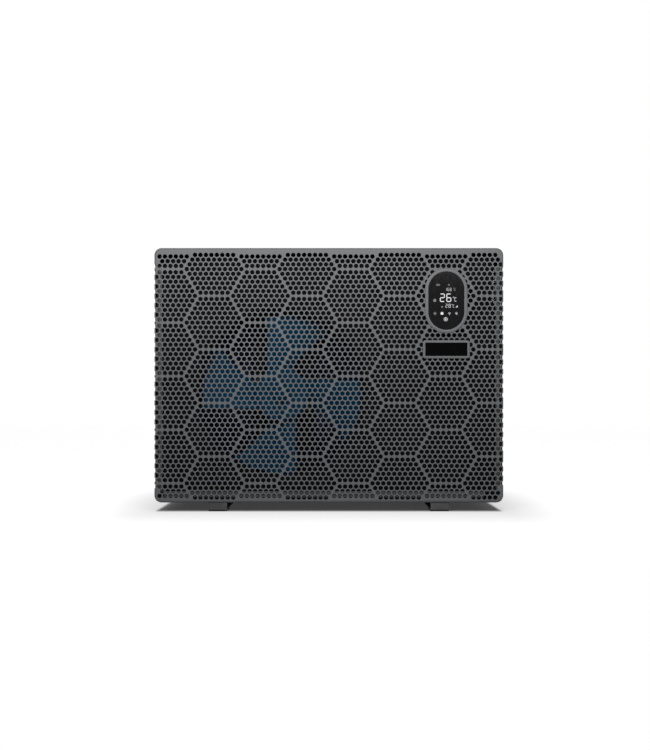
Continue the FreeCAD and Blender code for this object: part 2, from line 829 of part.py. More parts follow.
def make_top_cover():
    """The lid: a pressed sheet with round long edges and a lip that turns down on three sides."""
    body = new_body("top_cover")
    outline = new_sketch(body, "XY_Plane", cover_bottom_z)
    draw_rectangle(outline, -wall_x, wall_x, wall_front_y, rear_y)
    block = pad(body, outline, sizes.cover_lip)
    block = round_edges(body, block, wrap_corner,
                        lambda e: runs_along(e, Y_AXIS) and e.Vertexes[0].Z > float(wrap_top_z) - 1)
    hollow(body, block, sizes.sheet_gauge,
           lambda f: lies_at(f, "z", cover_bottom_z) or lies_at(f, "y", wall_front_y))


def make_side_panel(label, side, louvres):
    """A side sheet with flanges turned inwards, a handle opening and perhaps air slots."""
    outer, inner = side * wall_x, side * (wall_x - sizes.flange)
    skin = side * (wall_x - sizes.sheet_gauge)
    gauge = sizes.sheet_gauge
    if side < 0:
        block = slab(outer, inner, wall_front_y, rear_y, pan_top_z, cover_bottom_z)
        space = slab(skin, inner + 1.0, wall_front_y + gauge, rear_y - gauge, pan_top_z + gauge,
                     cover_bottom_z - gauge)
        through = (outer - REACH, skin + REACH)
    else:
        block = slab(inner, outer, wall_front_y, rear_y, pan_top_z, cover_bottom_z)
        space = slab(inner - 1.0, skin, wall_front_y + gauge, rear_y - gauge, pan_top_z + gauge,
                     cover_bottom_z - gauge)
        through = (skin - REACH, outer + REACH)
    wide, high = sizes.handle_width / 2, sizes.handle_height / 2
    openings = [slab(*through, handle_y - wide, handle_y + wide, handle_z - high, handle_z + high)]
    for column in louvres:
        y = handle_y + column * sizes.slot_column
        for row in range(SLOT_ROWS):
            z = sizes.slot_low_z + row * sizes.slot_pitch
            openings.append(slab(*through, y - sizes.slot_length / 2, y + sizes.slot_length / 2,
                                 z, z + sizes.slot_width))
    node(label, cut(block, space, *openings))


def handle_cup(side):
    """A moulded grip recessed in a side panel, with a thin collar outside."""
    wide, high = sizes.handle_width / 2, sizes.handle_height / 2
    y0, y1, z0, z1 = handle_y - wide, handle_y + wide, handle_z - high, handle_z + high
    face, deep = side * wall_x, side * (wall_x - sizes.handle_depth)
    lip = side * (wall_x + sizes.collar_proud)
    clear, collar, wall = sizes.cup_gap, sizes.handle_collar, sizes.cup_wall

    def between(a, b, *rest):
        """A block between two planes of constant X, in either order."""
        low, high_x = (a, b) if float(a) < float(b) else (b, a)
        return slab(low, high_x, *rest)

    cup = between(deep, face, y0 + clear, y1 - clear, z0 + clear, z1 - clear)
    rim = between(face, lip, y0 - collar, y1 + collar, z0 - collar, z1 + collar)
    rim = soften(rim, float(sizes.frame_round), lambda e: runs_along(e, X_AXIS))
    grip = between(deep + side * 2.0, lip + side * REACH, y0 + wall, y1 - wall, z0 + wall, z1 - wall)
    return cut(fuse(cup, rim), grip)


def make_rear_guard():
    """The moulded guard over the evaporator: a frame with a grid of narrow windows."""
    x0, x1 = float(-guard_half), float(guard_right)
    z0, z1 = float(pan_top_z), float(cover_bottom_z)
    y0 = float(inner_rear_y)
    rim, half_bar = float(sizes.guard_rim), float(sizes.guard_bar) / 2
    step_x = (x1 - x0 - 2 * rim) / GUARD_COLUMNS
    step_z = (z1 - z0 - 2 * rim) / GUARD_ROWS
    holes = []
    for column in range(GUARD_COLUMNS):
        for row in range(GUARD_ROWS):
            a, c = x0 + rim + column * step_x, z0 + rim + row * step_z
            holes.append(rectangle(a + half_bar, a + step_x - half_bar,
                                   c + half_bar, c + step_z - half_bar, y0))
    frame = rounded_rectangle(x0, x1, z0, z1, 2 * half_bar, y0)
    shaped("rear_guard", Part.Face([frame] + holes).extrude(Vector(0, float(sizes.guard_gauge), 0)))


guard_half = wall_x - sizes.flange - sizes.seam_gap
guard_right = sizes.bay_wall_x - 6.0


def make_service_panel():
    """The rear sheet of the compressor bay, with holes for the unions and the cable glands."""
    x0, x1 = guard_right + sizes.seam_gap, guard_half
    sheet_metal = slab(x0, x1, rear_y - sizes.sheet_gauge, rear_y, pan_top_z, cover_bottom_z)
    flanges = [slab(x0, x1, rear_y - sizes.flange, rear_y, z, z + sizes.sheet_gauge)
               for z in (pan_top_z, cover_bottom_z - sizes.sheet_gauge)]
    start, length = rear_y - sizes.flange - REACH, sizes.flange + 2 * REACH
    pipe_hole = sizes.pipe_bore + sizes.socket_wall + 1.0
    holes = [cylinder((sizes.exchanger_x, start, z), pipe_hole, length, "y")
             for z in (sizes.inlet_z, sizes.outlet_z)]
    holes += [cylinder((x, start, sizes.gland_z), sizes.gland_radius + sizes.thread_gap, length, "y")
              for x in gland_xs]
    vents = [slab(sizes.gland_x - 30.0, sizes.gland_x + 60.0, start, rear_y + REACH, z, z + 5.0)
             for z in (handle_z + 14.0 * k for k in range(6))]
    node("rear_service_panel", cut(fuse(sheet_metal, *flanges), *holes, *vents))


gland_xs = [sizes.gland_x, sizes.gland_x + sizes.gland_spacing]


def make_screws():
    """The pan-head screws that hold the casing: on both sides, on the rear and under the lid's lip."""
    head, proud = sizes.screw_head_radius, sizes.screw_head_height
    screws = []
    rows = [pan_top_z + 8.0, handle_z - 190.0, cover_bottom_z - 8.0]
    for side in (-1, 1):
        for y in (wall_front_y + 6.0, rear_y - 6.0):
            for z in rows:
                turn = TURN["x"] if side < 0 else Rotation(Y_AXIS, -90)
                x = side * (wall_x + proud)
                a = place(doc.addObject("Part::Cylinder", fresh("head")), (x, y, z), turn)
                a.setExpression("Radius", text_of(head))
                a.setExpression("Height", text_of(proud))
                screws.append(a)
    for x in (-guard_half + 6.0, -guard_half / 3, guard_right - 6.0, guard_right + 10.0, guard_half - 6.0):
        for z in (pan_top_z + 6.0, cover_bottom_z - 6.0):
            screws.append(cylinder((x, rear_y, z), head, proud, "y"))
    for x in (-guard_half, 0.0, guard_half):
        screws.append(cylinder((x, rear_y, wrap_top_z - 24.0), head, proud, "y"))
    node("casing_screws", compound(screws))


# ---- fan --------------------------------------------------------------------------------------------


def make_partition():
    """The upright sheet between the fan chamber and the compressor bay."""
    x = sizes.bay_wall_x
    web = slab(x, x + sizes.pan_gauge, shroud_back_y, coil_front_y - 4.0, pan_floor_z, inner_top_z)
    foot = slab(x, x + sizes.flange, shroud_back_y, coil_front_y - 4.0, pan_floor_z,
                pan_floor_z + sizes.pan_gauge)
    node("partition_plate", fuse(web, foot))


bulkhead_half = wall_x - wrap_corner - sizes.pan_gauge


def make_shroud():
    """The bulkhead behind the grille with the fan's bell mouth."""
    x, z = sizes.fan_x, sizes.fan_z
    throat = sizes.fan_radius + sizes.tip_gap
    mouth = throat + sizes.mouth_flare
    plate = slab(-bulkhead_half, sizes.bay_wall_x + sizes.pan_gauge, shroud_y, shroud_back_y,
                 pan_floor_z, inner_top_z)
    opening = cylinder((x, shroud_y - 1.0, z), mouth, sizes.pan_gauge + 2.0, "y")
    flare = cone((x, shroud_y, z), mouth + sizes.pan_gauge, throat + sizes.pan_gauge, sizes.mouth_flare, "y")
    bore = cone((x, shroud_y, z), mouth, throat, sizes.mouth_flare, "y")
    ring = tube((x, shroud_y + sizes.mouth_flare, z), throat + sizes.pan_gauge, throat,
                sizes.mouth_depth - sizes.mouth_flare, "y")
    node("fan_shroud", fuse(cut(plate, opening), cut(flare, bore), ring))


def make_bay_panel():
    """The sheet that closes the front of the compressor bay, with a hole for the display's lead."""
    x0 = sizes.bay_wall_x + sizes.pan_gauge
    sheet_metal = slab(x0, bulkhead_half, shroud_y, shroud_back_y, pan_floor_z, inner_top_z)
    lead = cylinder((sizes.display_x, shroud_y - REACH, display_z), sizes.lead_hole,
                    sizes.pan_gauge + 2 * REACH, "y")
    node("bay_panel", cut(sheet_metal, lead))


def blade_section(height):
    """The outline of a blade in the plane at a height above the axis: a thin, cambered, pitched strip."""
    hub, tip = float(sizes.hub_radius), float(sizes.fan_radius)
    trail_x = -0.53 * hub
    t = (height - hub) / (tip - hub)
    lead_x = 0.43 * hub + (tip * 0.72) * max(t, 0.0) ** 1.35
    front, rear = float(hub_front_y) + 9.0, float(hub_back_y) - 9.0 - 4.0 * t
    camber = 7.0 - 3.0 * t
    half = float(sizes.blade_gauge) / 2
    rows = ([], [])
    for k in range(7):
        u = k / 6
        x = trail_x + (lead_x - trail_x) * u
        y = front + (rear - front) * u - camber * 4 * u * (1 - u)
        rows[0].append(Vector(x, y - half * (1 - 0.6 * u), height))
        rows[1].append(Vector(x, y + half * (1 - 0.6 * u), height))
    sides = []
    for points in rows:
        curve = Part.BSplineCurve()
        curve.interpolate(points)
        sides.append(curve.toShape())
    ends = [Part.makeLine(rows[0][0], rows[1][0]), Part.makeLine(rows[0][-1], rows[1][-1])]
    return Part.Wire(Part.__sortEdges__(sides + ends))


def make_fan_rotor():
    """The fan wheel: a hub cup with a boss and four swept blades."""
    x, z = float(sizes.fan_x), float(sizes.fan_z)
    hub, tip, wall = float(sizes.hub_radius), float(sizes.fan_radius), float(sizes.hub_wall)
    bore_radius, boss_radius = float(sizes.shaft_radius), float(sizes.boss_radius)
    rib_gauge = float(sizes.rib_gauge)
    y0, y1 = float(hub_front_y), float(hub_back_y)
    heights = [hub * 0.9 + (tip * 1.04 - hub * 0.9) * k / 5 for k in range(6)]
    blade = Part.makeLoft([blade_section(h) for h in heights], True, False)
    rim = Part.makeCylinder(tip, y1 - y0 + 40, Vector(0, y0 - 20, 0), Y_AXIS)
    core = Part.makeCylinder(hub - wall / 2, y1 - y0 + 40, Vector(0, y0 - 20, 0), Y_AXIS)
    blade = blade.common(rim).cut(core)
    cup = Part.makeCylinder(hub, y1 - y0, Vector(0, y0, 0), Y_AXIS)
    cup = cup.makeFillet(float(sizes.hub_round), [e for e in cup.Edges if abs(e.BoundBox.YMax - y0) < 1e-3])
    cup = cup.cut(Part.makeCylinder(hub - wall, y1 - y0, Vector(0, y0 + wall + 5.0, 0), Y_AXIS))
    boss = Part.makeCylinder(boss_radius, 0.7 * (y1 - y0), Vector(0, y0 + 2.0, 0), Y_AXIS)
    wheel = cup.fuse(boss)
    for k in range(HUB_RIBS):
        rib = Part.makeBox(hub - 13.0, 0.4 * (y1 - y0), rib_gauge, Vector(11.5, y0 + 4.0, -rib_gauge / 2))
        wheel = wheel.fuse(rib.rotate(Vector(), Y_AXIS, 180 / HUB_RIBS + 360 / HUB_RIBS * k))
    for k in range(BLADES):
        wheel = wheel.fuse(blade.copy().rotate(Vector(), Y_AXIS, 360 / BLADES * k))
    bore = Part.makeCylinder(bore_radius, 2 * hub, Vector(0, y0 - REACH, 0), Y_AXIS)
    wheel = wheel.cut(bore).removeSplitter()
    wheel.translate(Vector(x, 0, z))
    shaped("fan_rotor", wheel.Solids[0] if len(wheel.Solids) == 1 else wheel)


def make_fan_drive():
    """The shaft with its nut and washer, the motor, and the two upright rails that carry it."""
    x, z, r = sizes.fan_x, sizes.fan_z, sizes.shaft_radius
    seat = 24.0
    shaft = cylinder((x, hub_front_y - 16.0, z), r, motor_front_y + seat - hub_front_y + 16.0 - 1.0, "y")
    node("fan_shaft", shaft)
    nut = cut(prism((x, hub_front_y - 12.0, z), 10.5, 9.0, 6, "y"),
              cylinder((x, hub_front_y - 20.0, z), r, 40.0, "y"))
    washer = tube((x, hub_front_y - 3.0, z), sizes.boss_radius, r, 3.0, "y")
    node("fan_nut", fuse(nut, washer))
    big, length = sizes.motor_radius, sizes.motor_length
    front_taper, rear_taper = 14.0, 12.0
    front_bell = cone((x, motor_front_y, z), big - 12.0, big, front_taper, "y")
    barrel = cylinder((x, motor_front_y + front_taper, z), big, length - front_taper - rear_taper, "y")
    rear_bell = cone((x, motor_back_y - rear_taper, z), big, big - 8.0, rear_taper, "y")
    nose = cylinder((x, motor_front_y - 5.0, z), 19.0, 8.0, "y")
    ribs = [slab(x - 1.5, x + 1.5, motor_front_y + 20.0, motor_back_y - 18.0, z - big - 4.0, z + big + 4.0),
            slab(x - big - 4.0, x + big + 4.0, motor_front_y + 20.0, motor_back_y - 18.0, z - 1.5, z + 1.5)]
    span = sizes.bracket_rail_spacing / 2 + 9.0
    lugs = []
    for end in (-1, 1):
        level = z + end * sizes.lug_offset
        lugs.append(slab(x - span, x + span, motor_back_y - sizes.lug_gauge, motor_back_y,
                         level - 9.0, level + 9.0))
    blind = cylinder((x, motor_front_y - 6.0, z), r + sizes.running_gap, seat + 6.0, "y")
    node("fan_motor", cut(fuse(front_bell, barrel, rear_bell, nose, *ribs, *lugs), blind))
    rails = []
    gauge = sizes.bracket_gauge
    back = motor_back_y + sizes.bracket_depth
    for side in (-1, 1):
        a = x + side * sizes.bracket_rail_spacing / 2
        half = sizes.bracket_rail_width / 2
        rail = slab(a - half, a + half, motor_back_y, back, pan_floor_z, inner_top_z)
        groove = slab(a - half + gauge, a + half - gauge, motor_back_y + gauge, back + REACH,
                      pan_floor_z + gauge, inner_top_z - gauge)
        rails.append(cut(rail, groove))
    inside = sizes.bracket_rail_spacing / 2 - sizes.bracket_rail_width / 2
    ties = [slab(x - inside - 1.0, x + inside + 1.0, motor_back_y, motor_back_y + gauge,
                 z + at - 16.0, z + at + 16.0) for at in (-240.0, -90.0, 90.0, 240.0)]
    node("motor_bracket", fuse(*rails, *ties))


def motor_bolts():
    """The four hexagon heads that hold the motor's lugs to its rails."""
    x, z = sizes.fan_x, sizes.fan_z
    head = 4.5
    seat = motor_back_y - sizes.lug_gauge - head
    return [prism((x + side * sizes.bracket_rail_spacing / 2, seat, z + end * sizes.lug_offset),
                  7.0, head, 6, "y") for side in (-1, 1) for end in (-1, 1)]


# ---- evaporator -------------------------------------------------------------------------------------


def make_evaporator():
    """The finned L-shaped coil, its end plates, the return bends and the two headers."""
    body = new_body("evaporator_fins")
    outline = new_sketch(body, "XY_Plane", coil_low_z)
    thick = sizes.coil_thickness
    draw_outline(outline, [
        (coil_left_x, coil_leg_y), (coil_left_x + thick, coil_leg_y), (coil_left_x + thick, coil_front_y),
        (coil_right_x, coil_front_y), (coil_right_x, coil_back_y), (coil_left_x, coil_back_y)])
    block = pad(body, outline, coil_top_z - coil_low_z)
    corner = Vector(float(coil_left_x), float(coil_back_y), 0)
    block = round_edges(body, block, sizes.coil_bend, lambda e: runs_along(e, Z_AXIS)
                        and (Vector(e.Vertexes[0].X, e.Vertexes[0].Y, 0) - corner).Length < 1e-3)
    corner_in = Vector(float(coil_left_x + thick), float(coil_front_y), 0)
    round_edges(body, block, sizes.coil_bend - thick, lambda e: runs_along(e, Z_AXIS)
                and (Vector(e.Vertexes[0].X, e.Vertexes[0].Y, 0) - corner_in).Length < 1e-3)
    gauge = sizes.pan_gauge
    right = slab(coil_right_x, coil_right_x + gauge, coil_front_y - 6.0, inner_rear_y,
                 pan_floor_z, inner_top_z)
    wing = slab(coil_right_x, sizes.bay_wall_x, coil_front_y - 4.0 - gauge, coil_front_y - 4.0,
                pan_floor_z, inner_top_z)
    front = slab(coil_left_x - 3.0, coil_left_x + thick + 3.0, coil_leg_y - gauge, coil_leg_y,
                 pan_floor_z, coil_top_z)
    node("coil_end_plates", compound([fuse(right, wing), front]))
    strips = [slab(coil_left_x + sizes.coil_bend + 10.0, coil_right_x - 20.0, coil_front_y, coil_back_y,
                   pan_floor_z, coil_low_z),
              slab(coil_left_x, coil_left_x + thick, coil_leg_y + 20.0, coil_front_y - 30.0,
                   pan_floor_z, coil_low_z)]
    node("coil_feet", compound(strips))
    bends = []
    pitch, first = sizes.coil_row_pitch, coil_low_z + sizes.first_bend_rise
    half_pitch = sizes.coil_row_pitch / 2
    for k in range(COIL_BENDS):
        z = first + k * 2.0 * pitch
        for row in (0.25, 0.75):
            y = coil_front_y + sizes.coil_thickness * row
            bends.append(torus((coil_right_x + gauge, y, z), half_pitch, sizes.tube_radius, angle=180.0,
                               rotation=Rotation(Z_AXIS, X_AXIS, Y_AXIS, "XYZ")))
    node("coil_return_bends", compound(bends))


# ---- compressor bay ---------------------------------------------------------------------------------

mount_z = pan_floor_z + sizes.grommet_height
compressor_low_z = mount_z + sizes.plate_thickness
compressor_top_z = compressor_low_z + sizes.compressor_height


def around(x, y, radius, count, start):
    """Points on a circle, each tied to the sheet."""
    for k in range(count):
        turn = math.radians(start + 360.0 / count * k)
        yield x + radius * math.cos(turn), y + radius * math.sin(turn)


def make_compressor():
    """The rotary compressor: a domed can on a three-lobed plate, with its rubber feet and studs."""
    x, y, r = sizes.compressor_x, sizes.compressor_y, sizes.compressor_radius
    body = new_body("compressor")
    place(body, (x, y, 0.0))
    can = new_sketch(body, "XZ_Plane")
    draw_rectangle(can, 0.0, r, compressor_low_z, compressor_top_z)
    shell = revolve(body, can)
    shell = round_edges(body, shell, sizes.can_round, lambda e: e.Length > 6 * float(r) - 1)
    stub = new_sketch(body, "XY_Plane", compressor_top_z - REACH)
    draw_circle(stub, 0.0, 0.0, sizes.gas_pipe_radius + 2.0)
    pad(body, stub, sizes.stub_length + REACH)
    thick = sizes.plate_thickness
    lobes = [cylinder((px, py, mount_z), sizes.lobe_radius, thick) for px, py in feet_at()]
    plate = fuse(prism((x, y, mount_z), sizes.foot_circle - 4.0, thick, 3), *lobes)
    holes = [cylinder((px, py, mount_z - REACH), sizes.stud_radius + 2.0, thick + 2 * REACH)
             for px, py in feet_at()]
    node("compressor_plate", cut(plate, *holes))
    grommets = []
    for px, py in feet_at():
        neck_z, head_z = pan_floor_z + 5.0, pan_floor_z + 9.0
        foot = fuse(cylinder((px, py, pan_floor_z), sizes.grommet_radius, neck_z - pan_floor_z),
                    cylinder((px, py, neck_z), sizes.grommet_neck, head_z - neck_z),
                    cylinder((px, py, head_z), sizes.grommet_radius, mount_z - head_z))
        grommets.append(cut(foot, cylinder((px, py, pan_floor_z - REACH), sizes.stud_radius,
                                           sizes.grommet_height + 2 * REACH)))
    node("compressor_grommets", compound(grommets))
    studs = []
    for px, py in feet_at():
        shank = cylinder((px, py, pan_floor_z), sizes.stud_radius, sizes.grommet_height + 14.0)
        washer = cylinder((px, py, compressor_low_z), 10.0, 1.6)
        studs.append(fuse(shank, washer, prism((px, py, compressor_low_z + 1.6), 7.5, 6.4, 6)))
    node("mounting_bolts", compound(studs + motor_bolts()))
    cap = cone((x, y - 28.0, compressor_top_z), 20.0, 15.0, 24.0)
    node("terminal_cover", cap)


def feet_at():
    """Where the compressor's three rubber feet stand."""
    return around(sizes.compressor_x, sizes.compressor_y, sizes.foot_circle, 3, 0.0)


accumulator_x = (sizes.compressor_x + sizes.compressor_radius + sizes.accumulator_radius
                 + sizes.accumulator_gap)
accumulator_y = sizes.compressor_y - 20.0
accumulator_low_z = compressor_low_z + sizes.accumulator_rise
accumulator_top_z = accumulator_low_z + sizes.accumulator_height


gas_pipes = []


def make_accumulator():
    """The suction accumulator and the strap that holds it to the compressor."""
    r = sizes.accumulator_radius
    can = soften(cylinder((accumulator_x, accumulator_y, accumulator_low_z), r, sizes.accumulator_height),
                 11.0, lambda e: e.Length > 6 * float(r))
    stub = cylinder((accumulator_x, accumulator_y, accumulator_top_z - REACH),
                    sizes.gas_pipe_radius + 1.0, sizes.stub_length + REACH)
    node("accumulator", fuse(can, stub))
    z, width = accumulator_low_z + 70.0, sizes.strap_width
    arm = slab(sizes.compressor_x, accumulator_x, accumulator_y + 8.0, accumulator_y + 12.0, z, z + width)
    band = tube((accumulator_x, accumulator_y, z), r + sizes.strap_gauge, r, width)
    inside = cylinder((sizes.compressor_x, sizes.compressor_y, z - REACH), sizes.compressor_radius,
                      width + 2 * REACH)
    core = cylinder((accumulator_x, accumulator_y, z - REACH), r, width + 2 * REACH)
    node("accumulator_strap", fuse(band, cut(arm, inside, core)))
    low = accumulator_low_z - 34.0
    inside_can = sizes.compressor_x + sizes.compressor_radius / 2
    elbow = bent_rod(points((accumulator_x, accumulator_y, accumulator_low_z),
                            (accumulator_x, accumulator_y, low), (inside_can, accumulator_y, low)),
                     float(sizes.gas_pipe_radius) + 1.0, 18.0)
    can_foot = Vector(float(sizes.compressor_x), float(sizes.compressor_y), float(compressor_low_z))
    can_core = Part.makeCylinder(float(sizes.compressor_radius), float(sizes.compressor_height), can_foot)
    gas_pipes.append(elbow.cut(can_core))


def make_exchanger():
    """The water heat exchanger: an upright barrel with screwed caps, two water pipes and a stand."""
    x, y, r = sizes.exchanger_x, sizes.exchanger_y, sizes.exchanger_radius
    inset = sizes.barrel_inset
    barrel = cylinder((x, y, exchanger_low_z + inset), r, sizes.exchanger_height - 2 * inset)
    outer = sizes.pipe_bore + sizes.socket_wall
    thread = sizes.thread_radius
    pipes = []
    for z in (sizes.inlet_z, sizes.outlet_z):
        pipe = cylinder((x, y, z), outer, rear_y + 8.0 - y, "y")
        pipes.append(pipe)
        pipes.append(cylinder((x, y, z), outer + sizes.collar_lip, r + 10.0, "y"))
        for k in range(4):
            pipes.append(cylinder((x, rear_y + 7.0 + 3.0 * k, z), thread - 0.4, 1.6, "y"))
        pipes.append(cylinder((x, rear_y + 6.0, z), thread - sizes.thread_depth, 12.0, "y"))
    bores = [cylinder((x, y, z), sizes.pipe_bore, rear_y + 30.0 - y, "y")
             for z in (sizes.inlet_z, sizes.outlet_z)]
    node("heat_exchanger", cut(fuse(barrel, *pipes), *bores))
    caps = []
    height, reach, half = sizes.cap_height, r + sizes.cap_grip, 4.0
    for z in (exchanger_low_z, exchanger_top_z - height):
        ring = cylinder((x, y, z), r + sizes.cap_lip, height)
        ring = soften(ring, 4.0, lambda e: e.Length > 6 * float(r))
        low, high = z + half, z + height - half
        grips = [slab(x - half, x + half, y - reach, y + reach, low, high),
                 slab(x - reach, x + reach, y - half, y + half, low, high)]
        core = cylinder((x, y, exchanger_low_z + inset), r, sizes.exchanger_height - 2 * inset)
        caps.append(cut(fuse(ring, *grips), core))
    node("exchanger_caps", compound(caps))
    leg, gauge = sizes.exchanger_radius * 0.7, sizes.stand_gauge
    top = slab(x - leg, x + leg, y - leg, y + leg, exchanger_low_z - gauge, exchanger_low_z)
    legs = [slab(x + side * leg - gauge / 2, x + side * leg + gauge / 2, y - leg, y + leg,
                 pan_floor_z, exchanger_low_z) for side in (-1, 1)]
    node("exchanger_stand", fuse(top, *legs))


def make_union(label, z):
    """A water union: a tail with a socket for the pool pipe, a washer, and the nut that turns on it."""
    x = sizes.exchanger_x
    seat = rear_y + sizes.seat_reach
    outer = sizes.pipe_bore + sizes.socket_wall
    end = rear_y + sizes.union_reach
    gauge, flange_gauge = sizes.washer_gauge, 4.0
    washer = tube((x, seat, z), sizes.thread_radius - 3.0, sizes.pipe_bore, gauge, "y")
    flange = cylinder((x, seat + gauge, z), sizes.thread_radius - 1.0, flange_gauge, "y")
    tail = cylinder((x, seat + gauge, z), outer, end - seat - gauge, "y")
    stop = sizes.pipe_bore - sizes.socket_stop
    tail = cut(fuse(flange, tail),
               cylinder((x, seat + gauge + flange_gauge, z), sizes.pipe_bore, sizes.union_reach, "y"),
               cylinder((x, seat, z), stop, 2 * sizes.union_reach, "y"))
    start = rear_y + sizes.nut_setback
    body = cylinder((x, start, z), sizes.nut_radius - 3.0, sizes.nut_length, "y")
    body = soften(body, 2.0, lambda e: e.Length > 5 * float(sizes.nut_radius - 3.0))
    grips = []
    for k in range(NUT_GRIPS):
        turn = 360.0 / NUT_GRIPS * k
        grip = doc.addObject("Part::Box", fresh("grip"))
        grip.Placement = Placement(Vector(), Rotation(Y_AXIS, turn))
        grip.setExpression("Length", text_of(3.4))
        grip.setExpression("Width", text_of(sizes.nut_length - 5.0))
        grip.setExpression("Height", text_of(12.0))
        radius, angle = sizes.nut_radius - 12.4, math.radians(turn)
        place(grip, (x + radius * math.sin(angle) - 1.7 * math.cos(angle), start + 2.5,
                     z + radius * math.cos(angle) + 1.7 * math.sin(angle)))
        grips.append(grip)
    thread_end = seat + gauge + flange_gauge + sizes.thread_gap
    thread = cylinder((x, start - REACH, z), sizes.thread_radius + sizes.thread_gap,
                      thread_end - start + REACH, "y")
    throat = cylinder((x, start - REACH, z), outer + sizes.throat_gap, sizes.nut_length + 4.0, "y")
    node(label, cut(fuse(body, *grips), thread, throat))
    return washer, tail


def make_glands():
    """Two cable glands through the rear sheet: lock nut inside, hexagon and domed nut outside."""
    bodies, domes = [], []
    for x in gland_xs:
        r, z = sizes.gland_radius, sizes.gland_z
        flats, lock_gauge, hexagon_gauge = r + sizes.gland_flats, 5.0, 7.0
        thread = cylinder((x, rear_y - 10.0, z), r, 26.0, "y")
        lock = prism((x, rear_y - sizes.sheet_gauge - lock_gauge, z), flats, lock_gauge, 6, "y")
        hexagon = prism((x, rear_y, z), flats, hexagon_gauge, 6, "y")
        bodies.append(cut(fuse(thread, lock, hexagon),
                          cylinder((x, rear_y - 12.0, z), sizes.cable_bore, 60.0, "y")))
        dome_y = rear_y + hexagon_gauge
        dome = soften(cylinder((x, dome_y, z), r + sizes.dome_flats, sizes.dome_length, "y"), 5.0,
                      lambda e: e.BoundBox.YMin > float(dome_y) + 13 and e.Length > 50)
        core = cylinder((x, dome_y - REACH, z), r, 10.0, "y")
        domes.append(cut(dome, core, cylinder((x, rear_y, z), sizes.cable_bore, 60.0, "y")))
    node("cable_glands", compound(bodies))
    node("gland_nuts", compound(domes))


box_top_z = inner_top_z - sizes.box_drop
box_low_z = box_top_z - sizes.box_height
box_left_x = sizes.bay_wall_x + sizes.pan_gauge + 6.0
box_right_x = inner_x - 14.0
box_front_y = shroud_back_y + 6.0
box_back_y = box_front_y + sizes.box_depth


# Parts on the control board: offset along it, offset across it, length, width and height above its back.
CHIPS = [
    (14, 16, 28, 22, 7), (60, 20, 18, 18, 5), (96, 12, 34, 16, 18), (18, 60, 22, 30, 20),
    (60, 66, 40, 26, 12), (120, 60, 26, 26, 16), (20, 120, 44, 18, 14), (84, 120, 16, 16, 9),
    (118, 116, 30, 20, 22)]


def make_electrical_box():
    """The control box on its shelf: tray, lid, control board, power parts and terminals."""
    g = sizes.sheet_gauge
    x0, x1, y0, y1 = box_left_x, box_right_x, box_front_y, box_back_y
    shelf_z = box_low_z - g
    shelf = slab(sizes.bay_wall_x + sizes.pan_gauge, inner_x, shroud_back_y, y1 + 10.0, shelf_z, box_low_z)
    lip = slab(sizes.bay_wall_x + sizes.pan_gauge, inner_x, y1 + 10.0 - g, y1 + 10.0, shelf_z - 14.0, shelf_z)
    node("box_shelf", fuse(shelf, lip))
    tray = cut(slab(x0, x1, y0, y1, box_low_z, box_top_z),
               slab(x0 + g, x1 - g, y0 + g, y1 - g, box_low_z + g, box_top_z + 1.0))
    node("electrical_box", tray)
    node("box_lid", fuse(slab(x0 - g, x1 + g, y0 - g, y1 + g, box_top_z, box_top_z + g),
                         slab(x0 - g, x1 + g, y1, y1 + g, box_top_z - 10.0, box_top_z)))
    floor = box_low_z + g
    pillars = [cylinder((x, y, floor), 4.0, sizes.board_rise)
               for x in (x0 + 24.0, x0 + 170.0) for y in (y0 + 20.0, y1 - 20.0)]
    node("board_pillars", compound(pillars))
    board_z, board_x, board_y = floor + sizes.board_rise, x0 + 14.0, y0 + 10.0
    board_top = board_z + sizes.board_gauge
    board = slab(board_x, board_x + 166.0, board_y, y1 - 10.0, board_z, board_top)
    chips = [slab(board_x + a, board_x + a + w, board_y + b, board_y + b + d, board_top, board_z + h)
             for a, b, w, d, h in CHIPS]
    node("control_board", fuse(board, *chips))
    cans = [soften(cylinder((x0 + 206.0, y0 + 30.0 + 34.0 * k, floor), 14.0, 62.0), 2.0,
                   lambda e: e.Length > 80) for k in range(4)]
    base = slab(x0 + 232.0, x0 + 262.0, y0 + 14.0, y0 + 114.0, floor, floor + 14.0)
    wells = [slab(x0 + 238.0, x0 + 256.0, y0 + 18.0 + 16.0 * k, y0 + 28.0 + 16.0 * k,
                  floor + 6.0, floor + 15.0) for k in range(6)]
    relay = slab(x0 + 232.0, x0 + 262.0, y0 + 130.0, y0 + 160.0, floor, floor + 40.0)
    relay = soften(relay, 2.0, lambda e: runs_along(e, Z_AXIS))
    node("power_parts", compound([*cans, cut(base, *wells), relay]))
    low, high, sink_x, sink_back = box_low_z + 20.0, box_top_z - 14.0, x0 + 30.0, y1 + 4.0
    sink = slab(sink_x, sink_x + 120.0, y1, sink_back, low, high)
    fins = [slab(sink_x + 8.0 * k, sink_x + 8.0 * k + 2.5, sink_back, sink_back + 26.0, low, high)
            for k in range(15)]
    node("heat_sink", fuse(sink, *fins))


def points(*rows):
    """Rows of coordinates as plain numbers."""
    return [tuple(float(v) for v in row) for row in rows]


def between_bends(k):
    """The height of a gap between two return bends of the coil."""
    return coil_low_z + sizes.first_bend_rise + (2.0 * k + 1.0) * sizes.coil_row_pitch


